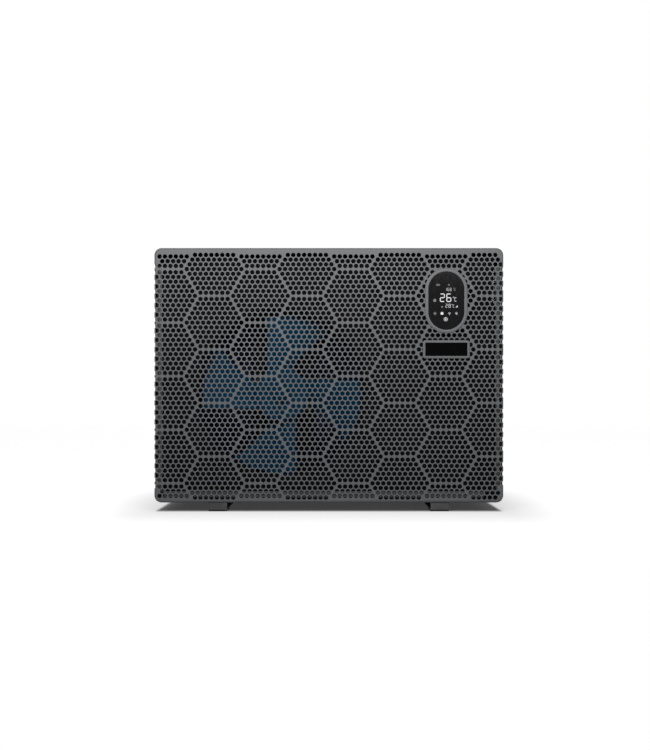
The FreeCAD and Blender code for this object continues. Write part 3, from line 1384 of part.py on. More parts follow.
def make_refrigerant_parts():
    """The reversing valve, the expansion valve, the suction header and the copper pipes between them."""
    vx, vy, vz = sizes.compressor_x - 10.0, sizes.compressor_y + 92.0, compressor_top_z + 62.0
    barrel = cylinder((vx - 38.0, vy, vz), 14.0, 76.0, "x")
    top = cylinder((vx, vy, vz + 10.0), 6.0, 22.0)
    ports = [cylinder((vx + dx, vy, vz - 34.0), 6.0, 30.0) for dx in (-22.0, 0.0, 22.0)]
    pilot = cylinder((vx - 20.0, vy + 22.0, vz), 6.0, 40.0, "x")
    link = slab(vx - 6.0, vx + 6.0, vy + 8.0, vy + 22.0, vz - 4.0, vz + 4.0)
    node("reversing_valve", fuse(soften(barrel, 4.0, lambda e: e.Length > 80), top, *ports, pilot, link))
    cx, cy = sizes.compressor_x, sizes.compressor_y
    gas, liquid = float(sizes.gas_pipe_radius), float(sizes.liquid_pipe_radius)
    stub_length = sizes.stub_length
    gas_pipes.append(bent_rod(points(
        (cx, cy, compressor_top_z + stub_length), (cx, cy, vz + 62.0), (vx, vy, vz + 62.0),
        (vx, vy, vz + 32.0)), gas, 18.0))
    gas_pipes.append(bent_rod(points(
        (vx + 22.0, vy, vz - 34.0), (vx + 22.0, vy, vz - 64.0), (accumulator_x, accumulator_y, vz - 64.0),
        (accumulator_x, accumulator_y, accumulator_top_z + stub_length)), gas, 16.0))
    hx, hy = sizes.bay_wall_x + 26.0, coil_front_y + 16.0
    low, high = coil_low_z + 36.0, coil_low_z + 226.0
    plate_x = coil_right_x + sizes.pan_gauge
    stems = [cylinder((plate_x, hy, between_bends(k)), 4.0, hx - plate_x, "x") for k in range(4)]
    header = soften(cylinder((hx, hy, low), 11.0, high - low), 5.0, lambda e: e.Length > 60)
    stub = cylinder((hx, hy, high - REACH), sizes.gas_pipe_radius, stub_length + REACH)
    node("suction_header", fuse(header, stub, *stems))
    gas_pipes.append(bent_rod(points(
        (vx, vy, vz - 34.0), (vx, vy, vz - 78.0), (hx, vy, vz - 78.0), (hx, hy, vz - 78.0),
        (hx, hy, high + stub_length)), gas, 12.0))
    ex, ey = sizes.exchanger_x, sizes.exchanger_y
    liquid_pipes = []
    over_z = exchanger_top_z + 26.0
    gas_pipes.append(bent_rod(points(
        (vx - 22.0, vy, vz - 34.0), (vx - 22.0, vy, vz - 54.0), (vx - 22.0, ey + 44.0, vz - 54.0),
        (vx - 22.0, ey + 44.0, over_z), (ex - 24.0, ey + 44.0, over_z), (ex - 24.0, ey + 12.0, over_z),
        (ex - 24.0, ey + 12.0, exchanger_top_z)), gas, 12.0))
    tx, ty, tz = ex - 92.0, ey + 4.0, between_bends(1) - 14.0
    valve = cylinder((tx, ty, tz), 13.0, 34.0)
    head = cylinder((tx, ty, tz + 34.0), 20.0, 26.0)
    lower = cylinder((tx, ty, tz - 16.0), 5.0, 16.0)
    branch = cylinder((tx - 30.0, ty, tz + 14.0), 5.0, 24.0, "x")
    node("expansion_valve", fuse(valve, soften(head, 4.0, lambda e: e.Length > 100), lower, branch))
    liquid_pipes.append(bent_rod(points(
        (tx, ty, tz - 16.0), (tx, ty, tz - 46.0), (tx, ey + 85.0, tz - 46.0), (ex, ey + 85.0, tz - 46.0),
        (ex, ey + sizes.exchanger_radius + 9.0, tz - 46.0)), liquid, 10.0))
    dx, dy = sizes.bay_wall_x + 46.0, coil_front_y + 36.0
    liquid_pipes.append(bent_rod(points(
        (tx - 30.0, ty, tz + 14.0), (dx, ty, tz + 14.0), (dx, dy, tz + 14.0), (plate_x, dy, tz + 14.0)),
        liquid, 10.0))
    shaped("gas_pipes", Part.makeCompound(gas_pipes))
    shaped("liquid_pipes", Part.makeCompound(liquid_pipes))


# ---- build and write --------------------------------------------------------------------------------

make_base_pan()
make_drain_spout()
node("foot_rails", compound([foot_rail(-1), foot_rail(1)]))
make_foot_caps()
make_foot_pads()
make_front_panel()
make_display()
make_nameplate()
make_top_cover()
make_side_panel("left_side_panel", -1, (-1, 0, 1))
make_side_panel("right_side_panel", 1, ())
node("handle_cups", compound([handle_cup(-1), handle_cup(1)]))
make_rear_guard()
make_service_panel()
make_screws()
make_partition()
make_shroud()
make_bay_panel()
make_fan_rotor()
make_fan_drive()
make_evaporator()
make_compressor()
make_accumulator()
make_exchanger()
unions = [make_union("inlet_nut", sizes.inlet_z), make_union("outlet_nut", sizes.outlet_z)]
node("union_washers", compound([washer for washer, tail in unions]))
node("union_tails", compound([tail for washer, tail in unions]))
make_glands()
make_electrical_box()
make_refrigerant_parts()

doc.recompute()
for obj in doc.Objects:
    if "Invalid" in obj.State or "Error" in obj.State:
        raise RuntimeError(f"{obj.Name} ({obj.TypeId}) did not build: {obj.State}")
os.makedirs("parts", exist_ok=True)
for obj in nodes:
    shape = obj.Shape
    if shape.isNull() or not shape.isValid() or shape.Volume <= 0:
        raise RuntimeError(f"{obj.Label} has no sound shape")
    shape.exportStep(os.path.join("parts", f"{obj.Label}.step"))
    box_of = shape.optimalBoundingBox(False)
    print(f"{obj.Label:22s} solids {len(shape.Solids):3d} x {box_of.XMin:7.1f} {box_of.XMax:7.1f}"
          f" y {box_of.YMin:7.1f} {box_of.YMax:7.1f} z {box_of.ZMin:6.1f} {box_of.ZMax:6.1f}")
print("pieces", len(nodes))
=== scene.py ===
# %% [markdown]
# # A pool heat pump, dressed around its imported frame
# The machine is a sheet-metal box: a perforated front panel, a lid, side sheets, a moulded guard over
# the coil at the back, and a compressor bay with its pipes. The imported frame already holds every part
# at its true size and place. This lesson adds the lamps and the camera, makes a finish for each
# material slot, and rebuilds the few parts whose detail is too fine for the frame.

import bpy
import numpy as np
from math import pi, radians
from mathutils.geometry import delaunay_2d_cdt
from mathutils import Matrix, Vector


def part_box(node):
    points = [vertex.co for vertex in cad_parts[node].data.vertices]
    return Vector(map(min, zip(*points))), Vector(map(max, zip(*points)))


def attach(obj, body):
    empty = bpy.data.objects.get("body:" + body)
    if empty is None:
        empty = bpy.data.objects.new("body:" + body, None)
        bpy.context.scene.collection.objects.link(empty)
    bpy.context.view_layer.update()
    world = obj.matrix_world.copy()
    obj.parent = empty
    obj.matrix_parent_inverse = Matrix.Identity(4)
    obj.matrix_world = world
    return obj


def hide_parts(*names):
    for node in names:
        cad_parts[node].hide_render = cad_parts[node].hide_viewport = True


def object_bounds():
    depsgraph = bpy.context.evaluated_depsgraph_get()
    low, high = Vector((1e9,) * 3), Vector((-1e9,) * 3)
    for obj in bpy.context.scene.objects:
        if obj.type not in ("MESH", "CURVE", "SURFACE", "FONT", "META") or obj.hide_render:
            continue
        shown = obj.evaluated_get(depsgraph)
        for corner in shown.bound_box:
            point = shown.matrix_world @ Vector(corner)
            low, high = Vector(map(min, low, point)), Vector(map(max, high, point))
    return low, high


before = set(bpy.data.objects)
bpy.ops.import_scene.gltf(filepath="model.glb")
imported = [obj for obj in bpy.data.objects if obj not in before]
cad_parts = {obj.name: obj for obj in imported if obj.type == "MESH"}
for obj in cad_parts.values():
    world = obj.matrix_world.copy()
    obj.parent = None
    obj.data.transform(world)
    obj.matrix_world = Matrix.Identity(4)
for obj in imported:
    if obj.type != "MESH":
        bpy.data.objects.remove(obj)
cad_box = [list(corner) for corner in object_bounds()]

# %% [markdown]
# ## Working in millimetres
# A sheet-metal drawing is in millimetres and Blender's unit is the metre. Every shape below is worked
# out in millimetres and made smaller once, when its mesh is built. A part's place comes from the box
# of its node in the frame, so nothing is fitted by hand.

# %% Boxes and units
MM = 0.001


def box_mm(node):
    """The lowest and highest corners of a frame node, in millimetres."""
    low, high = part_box(node)
    return np.array(low) / MM, np.array(high) / MM


def middle_mm(node):
    """The middle of a node's box: half of the sum of its two corners."""
    low, high = box_mm(node)
    return (low + high) / 2


def half_mm(node):
    """Half the size of a node's box: half of the difference of its two corners."""
    low, high = box_mm(node)
    return (high - low) / 2


machine_low, machine_high = np.array(cad_box) / MM
print("machine, mm:", machine_low.round(1), "to", machine_high.round(1))

# %% [markdown]
# ## From arrays to a piece
# Each shape is a table of points and tables of faces, with three or four point numbers in a row. A
# grid of points becomes quads by joining each point to its right and upper neighbours. Whether a
# closed shell faces outwards shows in its signed volume, which is negative when it is inside out.

# %% Grids and shells
def grid_faces(rows, columns, close_rows=False, close_columns=False):
    """Quads of a grid of points stored row by row: each joins a point, the next one in its row, and
    the two at the same places in the next row. A closed direction joins its last line to its first."""
    r = np.arange(rows if close_rows else rows - 1)[:, None]
    c = np.arange(columns if close_columns else columns - 1)[None, :]
    up, across = (r + 1) % rows, (c + 1) % columns
    corners = (r * columns + c, r * columns + across, up * columns + across, up * columns + c)
    return np.stack(corners, -1).reshape(-1, 4)


def signed_volume(points, tables):
    """A sixth of the sum, over each face cut into triangles, of its first corner dotted with the
    cross product of the other two."""
    total = 0.0
    for table in tables:
        for k in range(1, table.shape[1] - 1):
            a, b, c = (points[table[:, i]] for i in (0, k, k + 1))
            total += float((a * np.cross(b, c)).sum()) / 6
    return total


def stack_shells(shells):
    """Joins shells, each (points, faces), into one: the point numbers of each are raised by how many
    points came before it."""
    starts = np.cumsum([0] + [len(points) for points, _ in shells[:-1]])
    points = np.concatenate([points for points, _ in shells])
    return points, [np.concatenate([faces + start for (_, faces), start in zip(shells, starts)])]


def tube_faces(stations, closed=False):
    """Faces of a four-sided tube whose points are stored station by station. It is closed on itself,
    or by a face at each end."""
    sides = grid_faces(stations, 4, closed, True)
    last = 4 * (stations - 1)
    return sides if closed else np.concatenate([sides, [[3, 2, 1, 0], last + np.arange(4)]])


def repeat_faces(faces, copies, points_each):
    """The faces of several copies of one shape, stored one after the other: the point numbers of each
    copy are raised by how many points came before it."""
    raised = (np.arange(copies) * points_each)[:, None, None]
    return (faces[None] + raised).reshape(-1, faces.shape[1])


print("a 3 by 4 grid has", len(grid_faces(3, 4)), "faces, and closed both ways",
      len(grid_faces(3, 4, True, True)))

# %% Make a piece
def add_object(name, data):
    """Puts an object with the given mesh, lamp or camera into the scene."""
    made = bpy.data.objects.new(name, data)
    bpy.context.scene.collection.objects.link(made)
    return made


def add_piece(name, points, tables, finish, slot, body="unit", stands_for=(), crease=35.0):
    """Builds the mesh of a piece, facing outwards and smooth except where two faces meet at more
    than the crease angle, gives it its finish, and lets it ride on a body of the frame."""
    if signed_volume(points, tables) < 0:
        tables = [table[:, ::-1] for table in tables]
    mesh = bpy.data.meshes.new(name)
    mesh.from_pydata((points * MM).tolist(), [], [row for table in tables for row in table.tolist()])
    mesh.polygons.foreach_set("use_smooth", np.ones(len(mesh.polygons), bool))
    mesh.set_sharp_from_angle(angle=radians(crease))
    mesh.materials.append(finish)
    piece = add_object(name, mesh)
    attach(piece, body)
    if stands_for:
        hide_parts(*stands_for)
    print(name, "has", len(mesh.vertices), "points and", len(mesh.polygons), "faces")
    return piece


# %% [markdown]
# ## The camera
# The machine is seen square-on from a little below the middle of its height, a few steps away. The
# lens is shifted up rather than the camera tilted, so upright edges stay upright, as with an
# architect's shift lens.

# %% Camera
SENSOR_WIDTH = 36.0
STAND_OFF, VIEW_HEIGHT = 2.6, 0.274
PICTURE_HEIGHT = 1.8705
PICTURE_PLANE = machine_low[1] * MM + 0.002
camera_data = bpy.data.cameras.new("camera")
camera_data.lens = SENSOR_WIDTH * STAND_OFF / PICTURE_HEIGHT
camera_data.shift_x = -0.00513
camera_data.shift_y = 0.0356
camera = add_object("camera", camera_data)
camera.location = (0.0, PICTURE_PLANE - STAND_OFF, VIEW_HEIGHT)
camera.rotation_euler = (pi / 2, 0, 0)
bpy.context.scene.camera = camera
bpy.context.scene.view_settings.view_transform = "Standard"
print("lens", round(camera_data.lens, 2), "mm at", STAND_OFF, "m")

# %% [markdown]
# ## Making shader nodes
# A finish is a small network of shader nodes. One helper adds a node and fills its sockets, and an
# effect that several finishes share is a node group: a network with named inputs and outputs, built
# once and placed wherever it is wanted.

# %% Node helpers
def fill(tree, node, sockets):
    """Fills a node's input sockets: a plain value is stored in the socket, and another node's output
    is linked to it."""
    for key, value in sockets.items():
        if isinstance(value, bpy.types.NodeSocket):
            tree.links.new(value, node.inputs[key])
        else:
            node.inputs[key].default_value = value


def add_node(tree, kind, sockets=None, **settings):
    """Adds a shader node, sets its properties and fills its sockets."""
    node = tree.nodes.new(kind)
    for key, value in settings.items():
        setattr(node, key, value)
    fill(tree, node, sockets or {})
    return node


def maths(tree, operation, first, second=0.0, third=0.0, clamp=False):
    """The output of a Math node that works on numbers or other nodes' outputs."""
    node = add_node(tree, "ShaderNodeMath", {0: first, 1: second, 2: third},
                    operation=operation, use_clamp=clamp)
    return node.outputs[0]


def between(tree, value, low, high, to_low=0.0, to_high=1.0):
    """Maps a value from one range to another, held at its ends and eased in between."""
    node = add_node(tree, "ShaderNodeMapRange", {"Value": value, "From Min": low, "From Max": high,
                                                 "To Min": to_low, "To Max": to_high},
                    interpolation_type="SMOOTHSTEP")
    return node.outputs["Result"]


def blend_colours(tree, mask, first, second):
    """Mixes two colours by a mask."""
    node = add_node(tree, "ShaderNodeMix", data_type="RGBA")
    fill(tree, node, {0: mask, 6: first, 7: second})
    return node.outputs[2]


def noise(tree, place, scale, detail=2.0, roughness=0.5):
    """A noise pattern of about so many features to the metre."""
    node = add_node(tree, "ShaderNodeTexNoise", {"Vector": place, "Scale": scale, "Detail": detail,
                                                 "Roughness": roughness})
    return node.outputs["Fac"]


def new_group(name, inputs, outputs):
    """An empty node group with its sockets, each a name and a kind. Returns the group, its input
    node's outputs and its output node."""
    group = bpy.data.node_groups.new(name, "ShaderNodeTree")
    for side, sockets in (("INPUT", inputs), ("OUTPUT", outputs)):
        for label, kind in sockets.items():
            group.interface.new_socket(name=label, in_out=side, socket_type="NodeSocket" + kind)
    given, result = group.nodes.new("NodeGroupInput"), group.nodes.new("NodeGroupOutput")
    return group, given.outputs, result


def place_group(tree, group, sockets):
    """Puts a node group into a network and fills its inputs."""
    return add_node(tree, "ShaderNodeGroup", sockets, node_tree=group).outputs


print("node helpers ready")

# %% [markdown]
# ## Cloudy colour
# No coat or moulding is one colour all over. Slow clouds, a hand wide, come from spraying or cooling,
# and a fine grain comes from pigment and flake. The group mixes two tones by both, and also gives the
# two masks, so that roughness can follow them.

# %% Group: cloudy colour
cloudy, given, result = new_group(
    "cloudy colour", {"Place": "Vector", "Dark": "Color", "Light": "Color", "Cloud Scale": "Float",
                      "Grain Scale": "Float", "Grain Amount": "Float"},
    {"Colour": "Color", "Clouds": "Float", "Grain": "Float"})
clouds = between(cloudy, noise(cloudy, given["Place"], given["Cloud Scale"], 4.0, 0.55), 0.3, 0.7)
grain = between(cloudy, noise(cloudy, given["Place"], given["Grain Scale"], 1.0), 0.3, 0.7)
difference = maths(cloudy, "SUBTRACT", grain, clouds)
wanted = maths(cloudy, "MULTIPLY_ADD", difference, given["Grain Amount"], clouds)
fill(cloudy, result, {"Colour": blend_colours(cloudy, wanted, given["Dark"], given["Light"]),
                      "Clouds": clouds, "Grain": grain})
print("group made:", cloudy.name)

# %% [markdown]
# ## Coat relief
# Powder coat flows into tiny rounded hills, called orange peel, and a mould leaves a finer, sharper
# grain. Both are a height field: soft noise for the hills, and cells for the grain between them.

# %% Group: coat relief
relief, given, result = new_group(
    "coat relief", {"Place": "Vector", "Hill Scale": "Float", "Cell Scale": "Float", "Cell Share": "Float"},
    {"Height": "Float"})
hills = noise(relief, given["Place"], given["Hill Scale"], 1.0)
cells = add_node(relief, "ShaderNodeTexVoronoi", {"Vector": given["Place"], "Scale": given["Cell Scale"]},
                 feature="SMOOTH_F1").outputs["Distance"]
height = maths(relief, "MULTIPLY_ADD", maths(relief, "SUBTRACT", cells, hills), given["Cell Share"], hills)
fill(relief, result, {"Height": height})
print("group made:", relief.name)

# %% [markdown]
# ## Settled dust
# Outdoor machines carry a pale film of dust. It lies on what faces up, in patches, and rain splashes
# a little of it onto the lowest hand's breadth of every wall. The group adds it as a mask and a
# colour.

# %% Group: settled dust
SPLASH_HEIGHT = 0.11
DUST = (0.30, 0.28, 0.25, 1)
dusty, given, result = new_group(
    "settled dust", {"Place": "Vector", "Colour": "Color", "Amount": "Float", "Splash": "Float"},
    {"Colour": "Color", "Mask": "Float"})
normal = add_node(dusty, "ShaderNodeNewGeometry").outputs["Normal"]
facing = add_node(dusty, "ShaderNodeSeparateXYZ", {0: normal})
at = add_node(dusty, "ShaderNodeSeparateXYZ", {0: given["Place"]})
patches = between(dusty, noise(dusty, given["Place"], 23.0, 6.0, 0.65), 0.35, 0.75)
lying = maths(dusty, "MULTIPLY", between(dusty, facing.outputs["Z"], 0.55, 0.98), given["Amount"])
low_down = maths(dusty, "MULTIPLY", between(dusty, at.outputs["Z"], SPLASH_HEIGHT, 0.0), given["Splash"])
mask = maths(dusty, "MULTIPLY", maths(dusty, "ADD", lying, low_down), patches, clamp=True)
fill(dusty, result, {"Colour": blend_colours(dusty, mask, given["Colour"], DUST), "Mask": mask})
print("group made:", dusty.name)

# %% [markdown]
# ## Brushed and rolled metal
# Rolling and brushing leave hair-thin lines along one direction. Noise that is squeezed across the
# lines and stretched along them gives their height, and the same value varies the gloss.

# %% Group: drawn lines
drawn, given, result = new_group(
    "drawn lines", {"Place": "Vector", "Squeeze": "Vector", "Scale": "Float"}, {"Lines": "Float"})
squeezed = add_node(drawn, "ShaderNodeVectorMath", {0: given["Place"], 1: given["Squeeze"]},
                    operation="MULTIPLY")
lines = noise(drawn, squeezed.outputs[0], given["Scale"], 5.0, 0.6)
fill(drawn, result, {"Lines": lines})
print("group made:", drawn.name)

# %% [markdown]
# ## Painted sheet metal
# The front and the case are sprayed with a satin metallic coat over steel. The coat is a plastic film
# with metal flake in it, so it is partly metallic, and its gloss is broken by orange peel. The front
# is one tone finer than the rest of the case, which is powder coated. The sheets inside are dull and
# painted almost black, a painted shade for the dark inside of the box.

# %% Finish: sprayed coat
def start_finish(name):
    """A material with its shader, and the Object coordinates that its patterns read."""
    finish = bpy.data.materials.new(name)
    finish.use_nodes = True
    tree = finish.node_tree
    shader = tree.nodes["Principled BSDF"]
    place = add_node(tree, "ShaderNodeTexCoord").outputs["Object"]
    return finish, tree, shader, place


def set_bump(tree, shader, height, distance):
    """Feeds a height into the shader's Normal through a Bump node; distance is the height of the
    tallest hill in metres."""
    bump = add_node(tree, "ShaderNodeBump", {"Height": height, "Distance": distance, "Strength": 1.0})
    fill(tree, shader, {"Normal": bump.outputs["Normal"]})


DUST_DULLS = 0.3


def dusty_skin(name, dark, light, tone_values, follows, gloss_range, relief_values, height, dust, splash,
               spec, metal=0.0):
    """Two clouded tones with dust on top. The gloss follows one of the tones' masks, clouds or grain,
    over a range of roughness, and the dust dulls it. The relief is hills and cells of a height."""
    finish, tree, shader, place = start_finish(name)
    tones = place_group(tree, cloudy, {"Place": place, "Dark": (*dark, 1), "Light": (*light, 1),
                                       **tone_values})
    dirt = place_group(tree, dusty, {"Place": place, "Colour": tones["Colour"], "Amount": dust,
                                     "Splash": splash})
    gloss = between(tree, tones[follows], 0.0, 1.0, *gloss_range)
    dulled = maths(tree, "MULTIPLY_ADD", dirt["Mask"], DUST_DULLS, gloss, clamp=True)
    fill(tree, shader, {"Base Color": dirt["Colour"], "Roughness": dulled, "Metallic": metal,
                        "Specular IOR Level": spec})
    skin = place_group(tree, relief, {"Place": place, **relief_values})
    set_bump(tree, shader, skin["Height"], height)
    return finish


def sprayed_coat(name, dark, light, metal, rough, peel, dust, splash, spec):
    """A metallic coat: flake in the colour and the gloss, and orange peel in the relief."""
    return dusty_skin(name, dark, light, {"Cloud Scale": 4.5, "Grain Scale": 1300.0, "Grain Amount": 0.7},
                      "Grain", (rough - 0.05, rough + 0.06),
                      {"Hill Scale": 420.0, "Cell Scale": 1500.0, "Cell Share": 0.35}, peel, dust, splash,
                      spec, metal)


# Each coat: dark tone, light tone, metal share, roughness, height of the peel in metres, dust, splash,
# specular level.
COATS = {
    "panel coat": ((0.128, 0.132, 0.137), (0.166, 0.171, 0.177), 0.06, 0.50, 0.00010, 0.03, 0.0, 0.12),
    "case coat": ((0.112, 0.116, 0.120), (0.150, 0.155, 0.160), 0.10, 0.50, 0.00016, 0.08, 0.10, 0.2),
    # The inner sheet is near black: painted shade for the dark inside of the box seen through the holes.
    "inner sheet painted shade": ((0.006, 0.0063, 0.007), (0.012, 0.0126, 0.014), 0.0, 0.62, 0.00012, 0.06, 0.03, 0.03),
    "ring coat": ((0.140, 0.144, 0.148), (0.168, 0.172, 0.177), 0.08, 0.46, 0.00006, 0.10, 0.0, 0.12)}
panel_coat, case_coat, inner_sheet, ring_coat = (sprayed_coat(name, *coat) for name, coat in COATS.items())
print("coats:", *COATS)

# %% [markdown]
# ## Bare metals
# Galvanised sheet shows zinc crystals as patches of slightly different grey. Plated steel and
# aluminium show rolling lines. Drawn copper has lines along the tube and darkens in blotches as it
# oxidises. The bare ones are fully metallic. A blackened or coated one is only partly so, because a
# film covers it. The coil's tubes are painted almost black and only partly metallic: painted shade for
# the depth of the coil between its fins.

# %% Finish: galvanised sheet and rolled metal
def galvanised_sheet(name, dark, light):
    """Zinc crystals: each Voronoi cell gets its own grey and its own gloss."""
    finish, tree, shader, place = start_finish(name)
    crystals = add_node(tree, "ShaderNodeTexVoronoi", {"Vector": place, "Scale": 90.0, "Randomness": 1.0})
    grey = add_node(tree, "ShaderNodeSeparateColor", {0: crystals.outputs["Color"]}).outputs[0]
    tone = maths(tree, "MULTIPLY_ADD", noise(tree, place, 12.0, 4.0), 0.6, maths(tree, "MULTIPLY", grey, 0.5))
    colour = blend_colours(tree, between(tree, tone, 0.15, 0.95), (*dark, 1), (*light, 1))
    dirt = place_group(tree, dusty, {"Place": place, "Colour": colour, "Amount": 0.35, "Splash": 0.1})
    fill(tree, shader, {"Base Color": dirt["Colour"], "Roughness": between(tree, grey, 0.0, 1.0, 0.34, 0.52),
                        "Metallic": 1.0})
    set_bump(tree, shader, maths(tree, "ADD", grey, noise(tree, place, 300.0)), 0.00004)
    return finish


def rolled_metal(name, dark, light, squeeze, rough, metal, stain):
    """Rolling lines in tone, gloss and relief, with darker stains in slow patches."""
    finish, tree, shader, place = start_finish(name)
    rolled = place_group(tree, drawn, {"Place": place, "Squeeze": squeeze, "Scale": 60.0})["Lines"]
    tones = place_group(tree, cloudy, {"Place": place, "Dark": (*dark, 1), "Light": (*light, 1),
                                       "Cloud Scale": 18.0, "Grain Scale": 240.0, "Grain Amount": 0.4})
    blotches = between(tree, noise(tree, place, 14.0, 5.0, 0.6), 0.5, 0.8)
    stained = maths(tree, "MULTIPLY", blotches, stain)
    stain_tone = (dark[0] * 0.4, dark[1] * 0.35, dark[2] * 0.35, 1)
    fill(tree, shader, {"Base Color": blend_colours(tree, stained, tones["Colour"], stain_tone),
                        "Roughness": between(tree, rolled, 0.2, 0.8, rough - 0.08, rough + 0.12),
                        "Metallic": metal})
    set_bump(tree, shader, rolled, 0.00005)
    return finish


# Each metal: dark tone, light tone, squeeze across the lines, roughness, metal share, stains.
METALS = {
    "plated steel": ((0.36, 0.36, 0.355), (0.50, 0.50, 0.49), (30.0, 1.0, 30.0), 0.30, 1.0, 0.0),
    "drawn copper": ((0.52, 0.22, 0.12), (0.78, 0.40, 0.25), (1.0, 25.0, 25.0), 0.30, 1.0, 0.7),
    "blackened steel": ((0.016, 0.016, 0.017), (0.034, 0.034, 0.035), (30.0, 1.0, 30.0), 0.42, 0.4, 0.0),
    "extruded aluminium": ((0.60, 0.60, 0.62), (0.74, 0.74, 0.76), (1.0, 30.0, 30.0), 0.36, 1.0, 0.0),
    # The coil's tube tone is near black: painted shade for the depth of the coil between the fins.
    "shade darkened tube": ((0.030, 0.022, 0.020), (0.060, 0.040, 0.034), (1.0, 25.0, 25.0), 0.55, 0.3, 0.6),
    "coated fins": ((0.18, 0.245, 0.57), (0.265, 0.35, 0.76), (1.0, 1.0, 22.0), 0.45, 0.25, 0.2)}
galvanised = galvanised_sheet("galvanised sheet", (0.40, 0.41, 0.42), (0.62, 0.63, 0.64))
steel, copper, blackened, heat_sink, shade_darkened_tube, fin_blue = (
    rolled_metal(name, *metal) for name, metal in METALS.items())
print("metals:", galvanised.name, *METALS)

# %% [markdown]
# ## Mouldings, rubber and enamel
# Moulded plastic has a fine spark-eroded grain and flow clouds; rubber is duller with mould bloom;
# stove enamel is glossy over a slightly wavy casting. One recipe covers them all, and a table gives
# each of them its own values.

# %% Finish: moulded and enamelled parts
def moulded(name, dark, light, rough, hills, cells, height, dust, splash, spec):
    """A moulding: flow clouds in the colour and the gloss, and a grained relief."""
    return dusty_skin(name, dark, light, {"Cloud Scale": 9.0, "Grain Scale": 700.0, "Grain Amount": 0.45},
                      "Clouds", (rough - 0.04, rough + 0.06),
                      {"Hill Scale": hills, "Cell Scale": cells, "Cell Share": 0.6}, height, dust,
                      splash, spec)


# Each moulding: dark tone, light tone, roughness, hills and cells to the metre, height of the relief in
# metres, dust, splash, specular level.
MOULDINGS = {
    "black moulding": ((0.022, 0.022, 0.024), (0.036, 0.036, 0.039), 0.46, 900, 2200, 7e-5, 0.25, 0.25, 0.5),
    "grey edging": ((0.062, 0.064, 0.067), (0.092, 0.095, 0.099), 0.85, 700, 1500, 2e-4, 0.0, 0.0, 0.05),
    # The black foam is near black: painted shade where only the dark inside shows behind the holes.
    "painted shade foam": ((0.003, 0.003, 0.003), (0.006, 0.006, 0.006), 0.90, 700, 1500, 2e-4, 0.0, 0.0, 0.03),
    "moulded rubber": ((0.012, 0.012, 0.012), (0.024, 0.024, 0.024), 0.72, 500, 1600, 1.2e-4, 0.25, 0.3, 0.3),
    "blue fan moulding": ((0.0025, 0.043, 0.098), (0.0045, 0.062, 0.134), 0.52, 700, 1800, 6e-5, 0.03, 0.0,
                          0.04),
    "grey pipe plastic": ((0.20, 0.218, 0.235), (0.265, 0.283, 0.30), 0.36, 260, 900, 6e-5, 0.25, 0.1, 0.5),
    "white barrel plastic": ((0.68, 0.68, 0.65), (0.80, 0.80, 0.775), 0.34, 240, 900, 6e-5, 0.25, 0.0, 0.5),
    "stove enamel": ((0.012, 0.012, 0.012), (0.022, 0.022, 0.022), 0.22, 160, 700, 2e-4, 0.25, 0.0, 0.5),
    "potted parts": ((0.05, 0.05, 0.055), (0.15, 0.15, 0.16), 0.45, 400, 1400, 8e-5, 0.25, 0.0, 0.5)}
(moulded_black, foam_grey, shade_black_foam, rubber, fan_blue, pvc_grey, pvc_white, black_enamel, board_parts) = (
    moulded(name, *moulding) for name, moulding in MOULDINGS.items())
print("mouldings:", *MOULDINGS)

# %% [markdown]
# ## The circuit board
# A lacquered board shows its copper tracks as paler lines under green lacquer, in a fine square
# pattern, with rows of solder dots. Brick-shaped cells give the tracks, so they turn corners like
# real ones.

# %% Finish: lacquered board
board_green, tree, shader, place = start_finish("lacquered board")
tracks = add_node(tree, "ShaderNodeTexBrick", {"Vector": place, "Scale": 170.0, "Mortar Size": 0.022,
                                              "Color1": (1, 1, 1, 1), "Color2": (0.6, 0.6, 0.6, 1),
                                              "Mortar": (0, 0, 0, 1)}).outputs["Color"]
dots = add_node(tree, "ShaderNodeTexVoronoi", {"Vector": place, "Scale": 320.0, "Randomness": 0.15})
pads = between(tree, dots.outputs["Distance"], 0.22, 0.16)
lacquer = blend_colours(tree, tracks, (0.03, 0.22, 0.09, 1), (0.012, 0.12, 0.045, 1))
soldered = blend_colours(tree, maths(tree, "MULTIPLY", pads, 0.5), lacquer, (0.55, 0.52, 0.44, 1))
fill(tree, shader, {"Base Color": soldered, "Roughness": between(tree, pads, 0.0, 1.0, 0.26, 0.45)})
set_bump(tree, shader, pads, 0.0001)
print("board:", board_green.name)

# %% [markdown]
# ## The display glass and the name plate
# Smoked glass over a display is almost black, very smooth, and carries faint wiping marks and a few
# specks of dust. It is not a mirror: an anti-glare film keeps its reflection weak, which is set on
# the shader's specular socket. The plate below it is plain black lacquer without any lettering.

# %% Finish: smoked glass and black lacquer
def polished_black(name, colour, wiped, spec):
    """Near-black gloss: wiping marks as stretched noise and specks of dust as small bright cells."""
    finish, tree, shader, place = start_finish(name)
    marks = place_group(tree, drawn, {"Place": place, "Squeeze": (6.0, 1.0, 1.5), "Scale": 30.0})["Lines"]
    specks = add_node(tree, "ShaderNodeTexVoronoi", {"Vector": place, "Scale": 260.0}).outputs["Distance"]
    where_dusty = between(tree, noise(tree, place, 40.0), 0.5, 0.7)
    speck = maths(tree, "MULTIPLY", between(tree, specks, 0.10, 0.04), where_dusty)
    haze = between(tree, marks, 0.45, 0.8, 0.0, wiped)
    paler = maths(tree, "MULTIPLY_ADD", speck, 0.3, haze, clamp=True)
    fill(tree, shader, {"Base Color": blend_colours(tree, paler, (*colour, 1), (0.30, 0.30, 0.30, 1)),
                        "Roughness": between(tree, marks, 0.3, 0.8, 0.10, 0.24),
                        "Specular IOR Level": spec})
    set_bump(tree, shader, marks, 0.00001)
    return finish


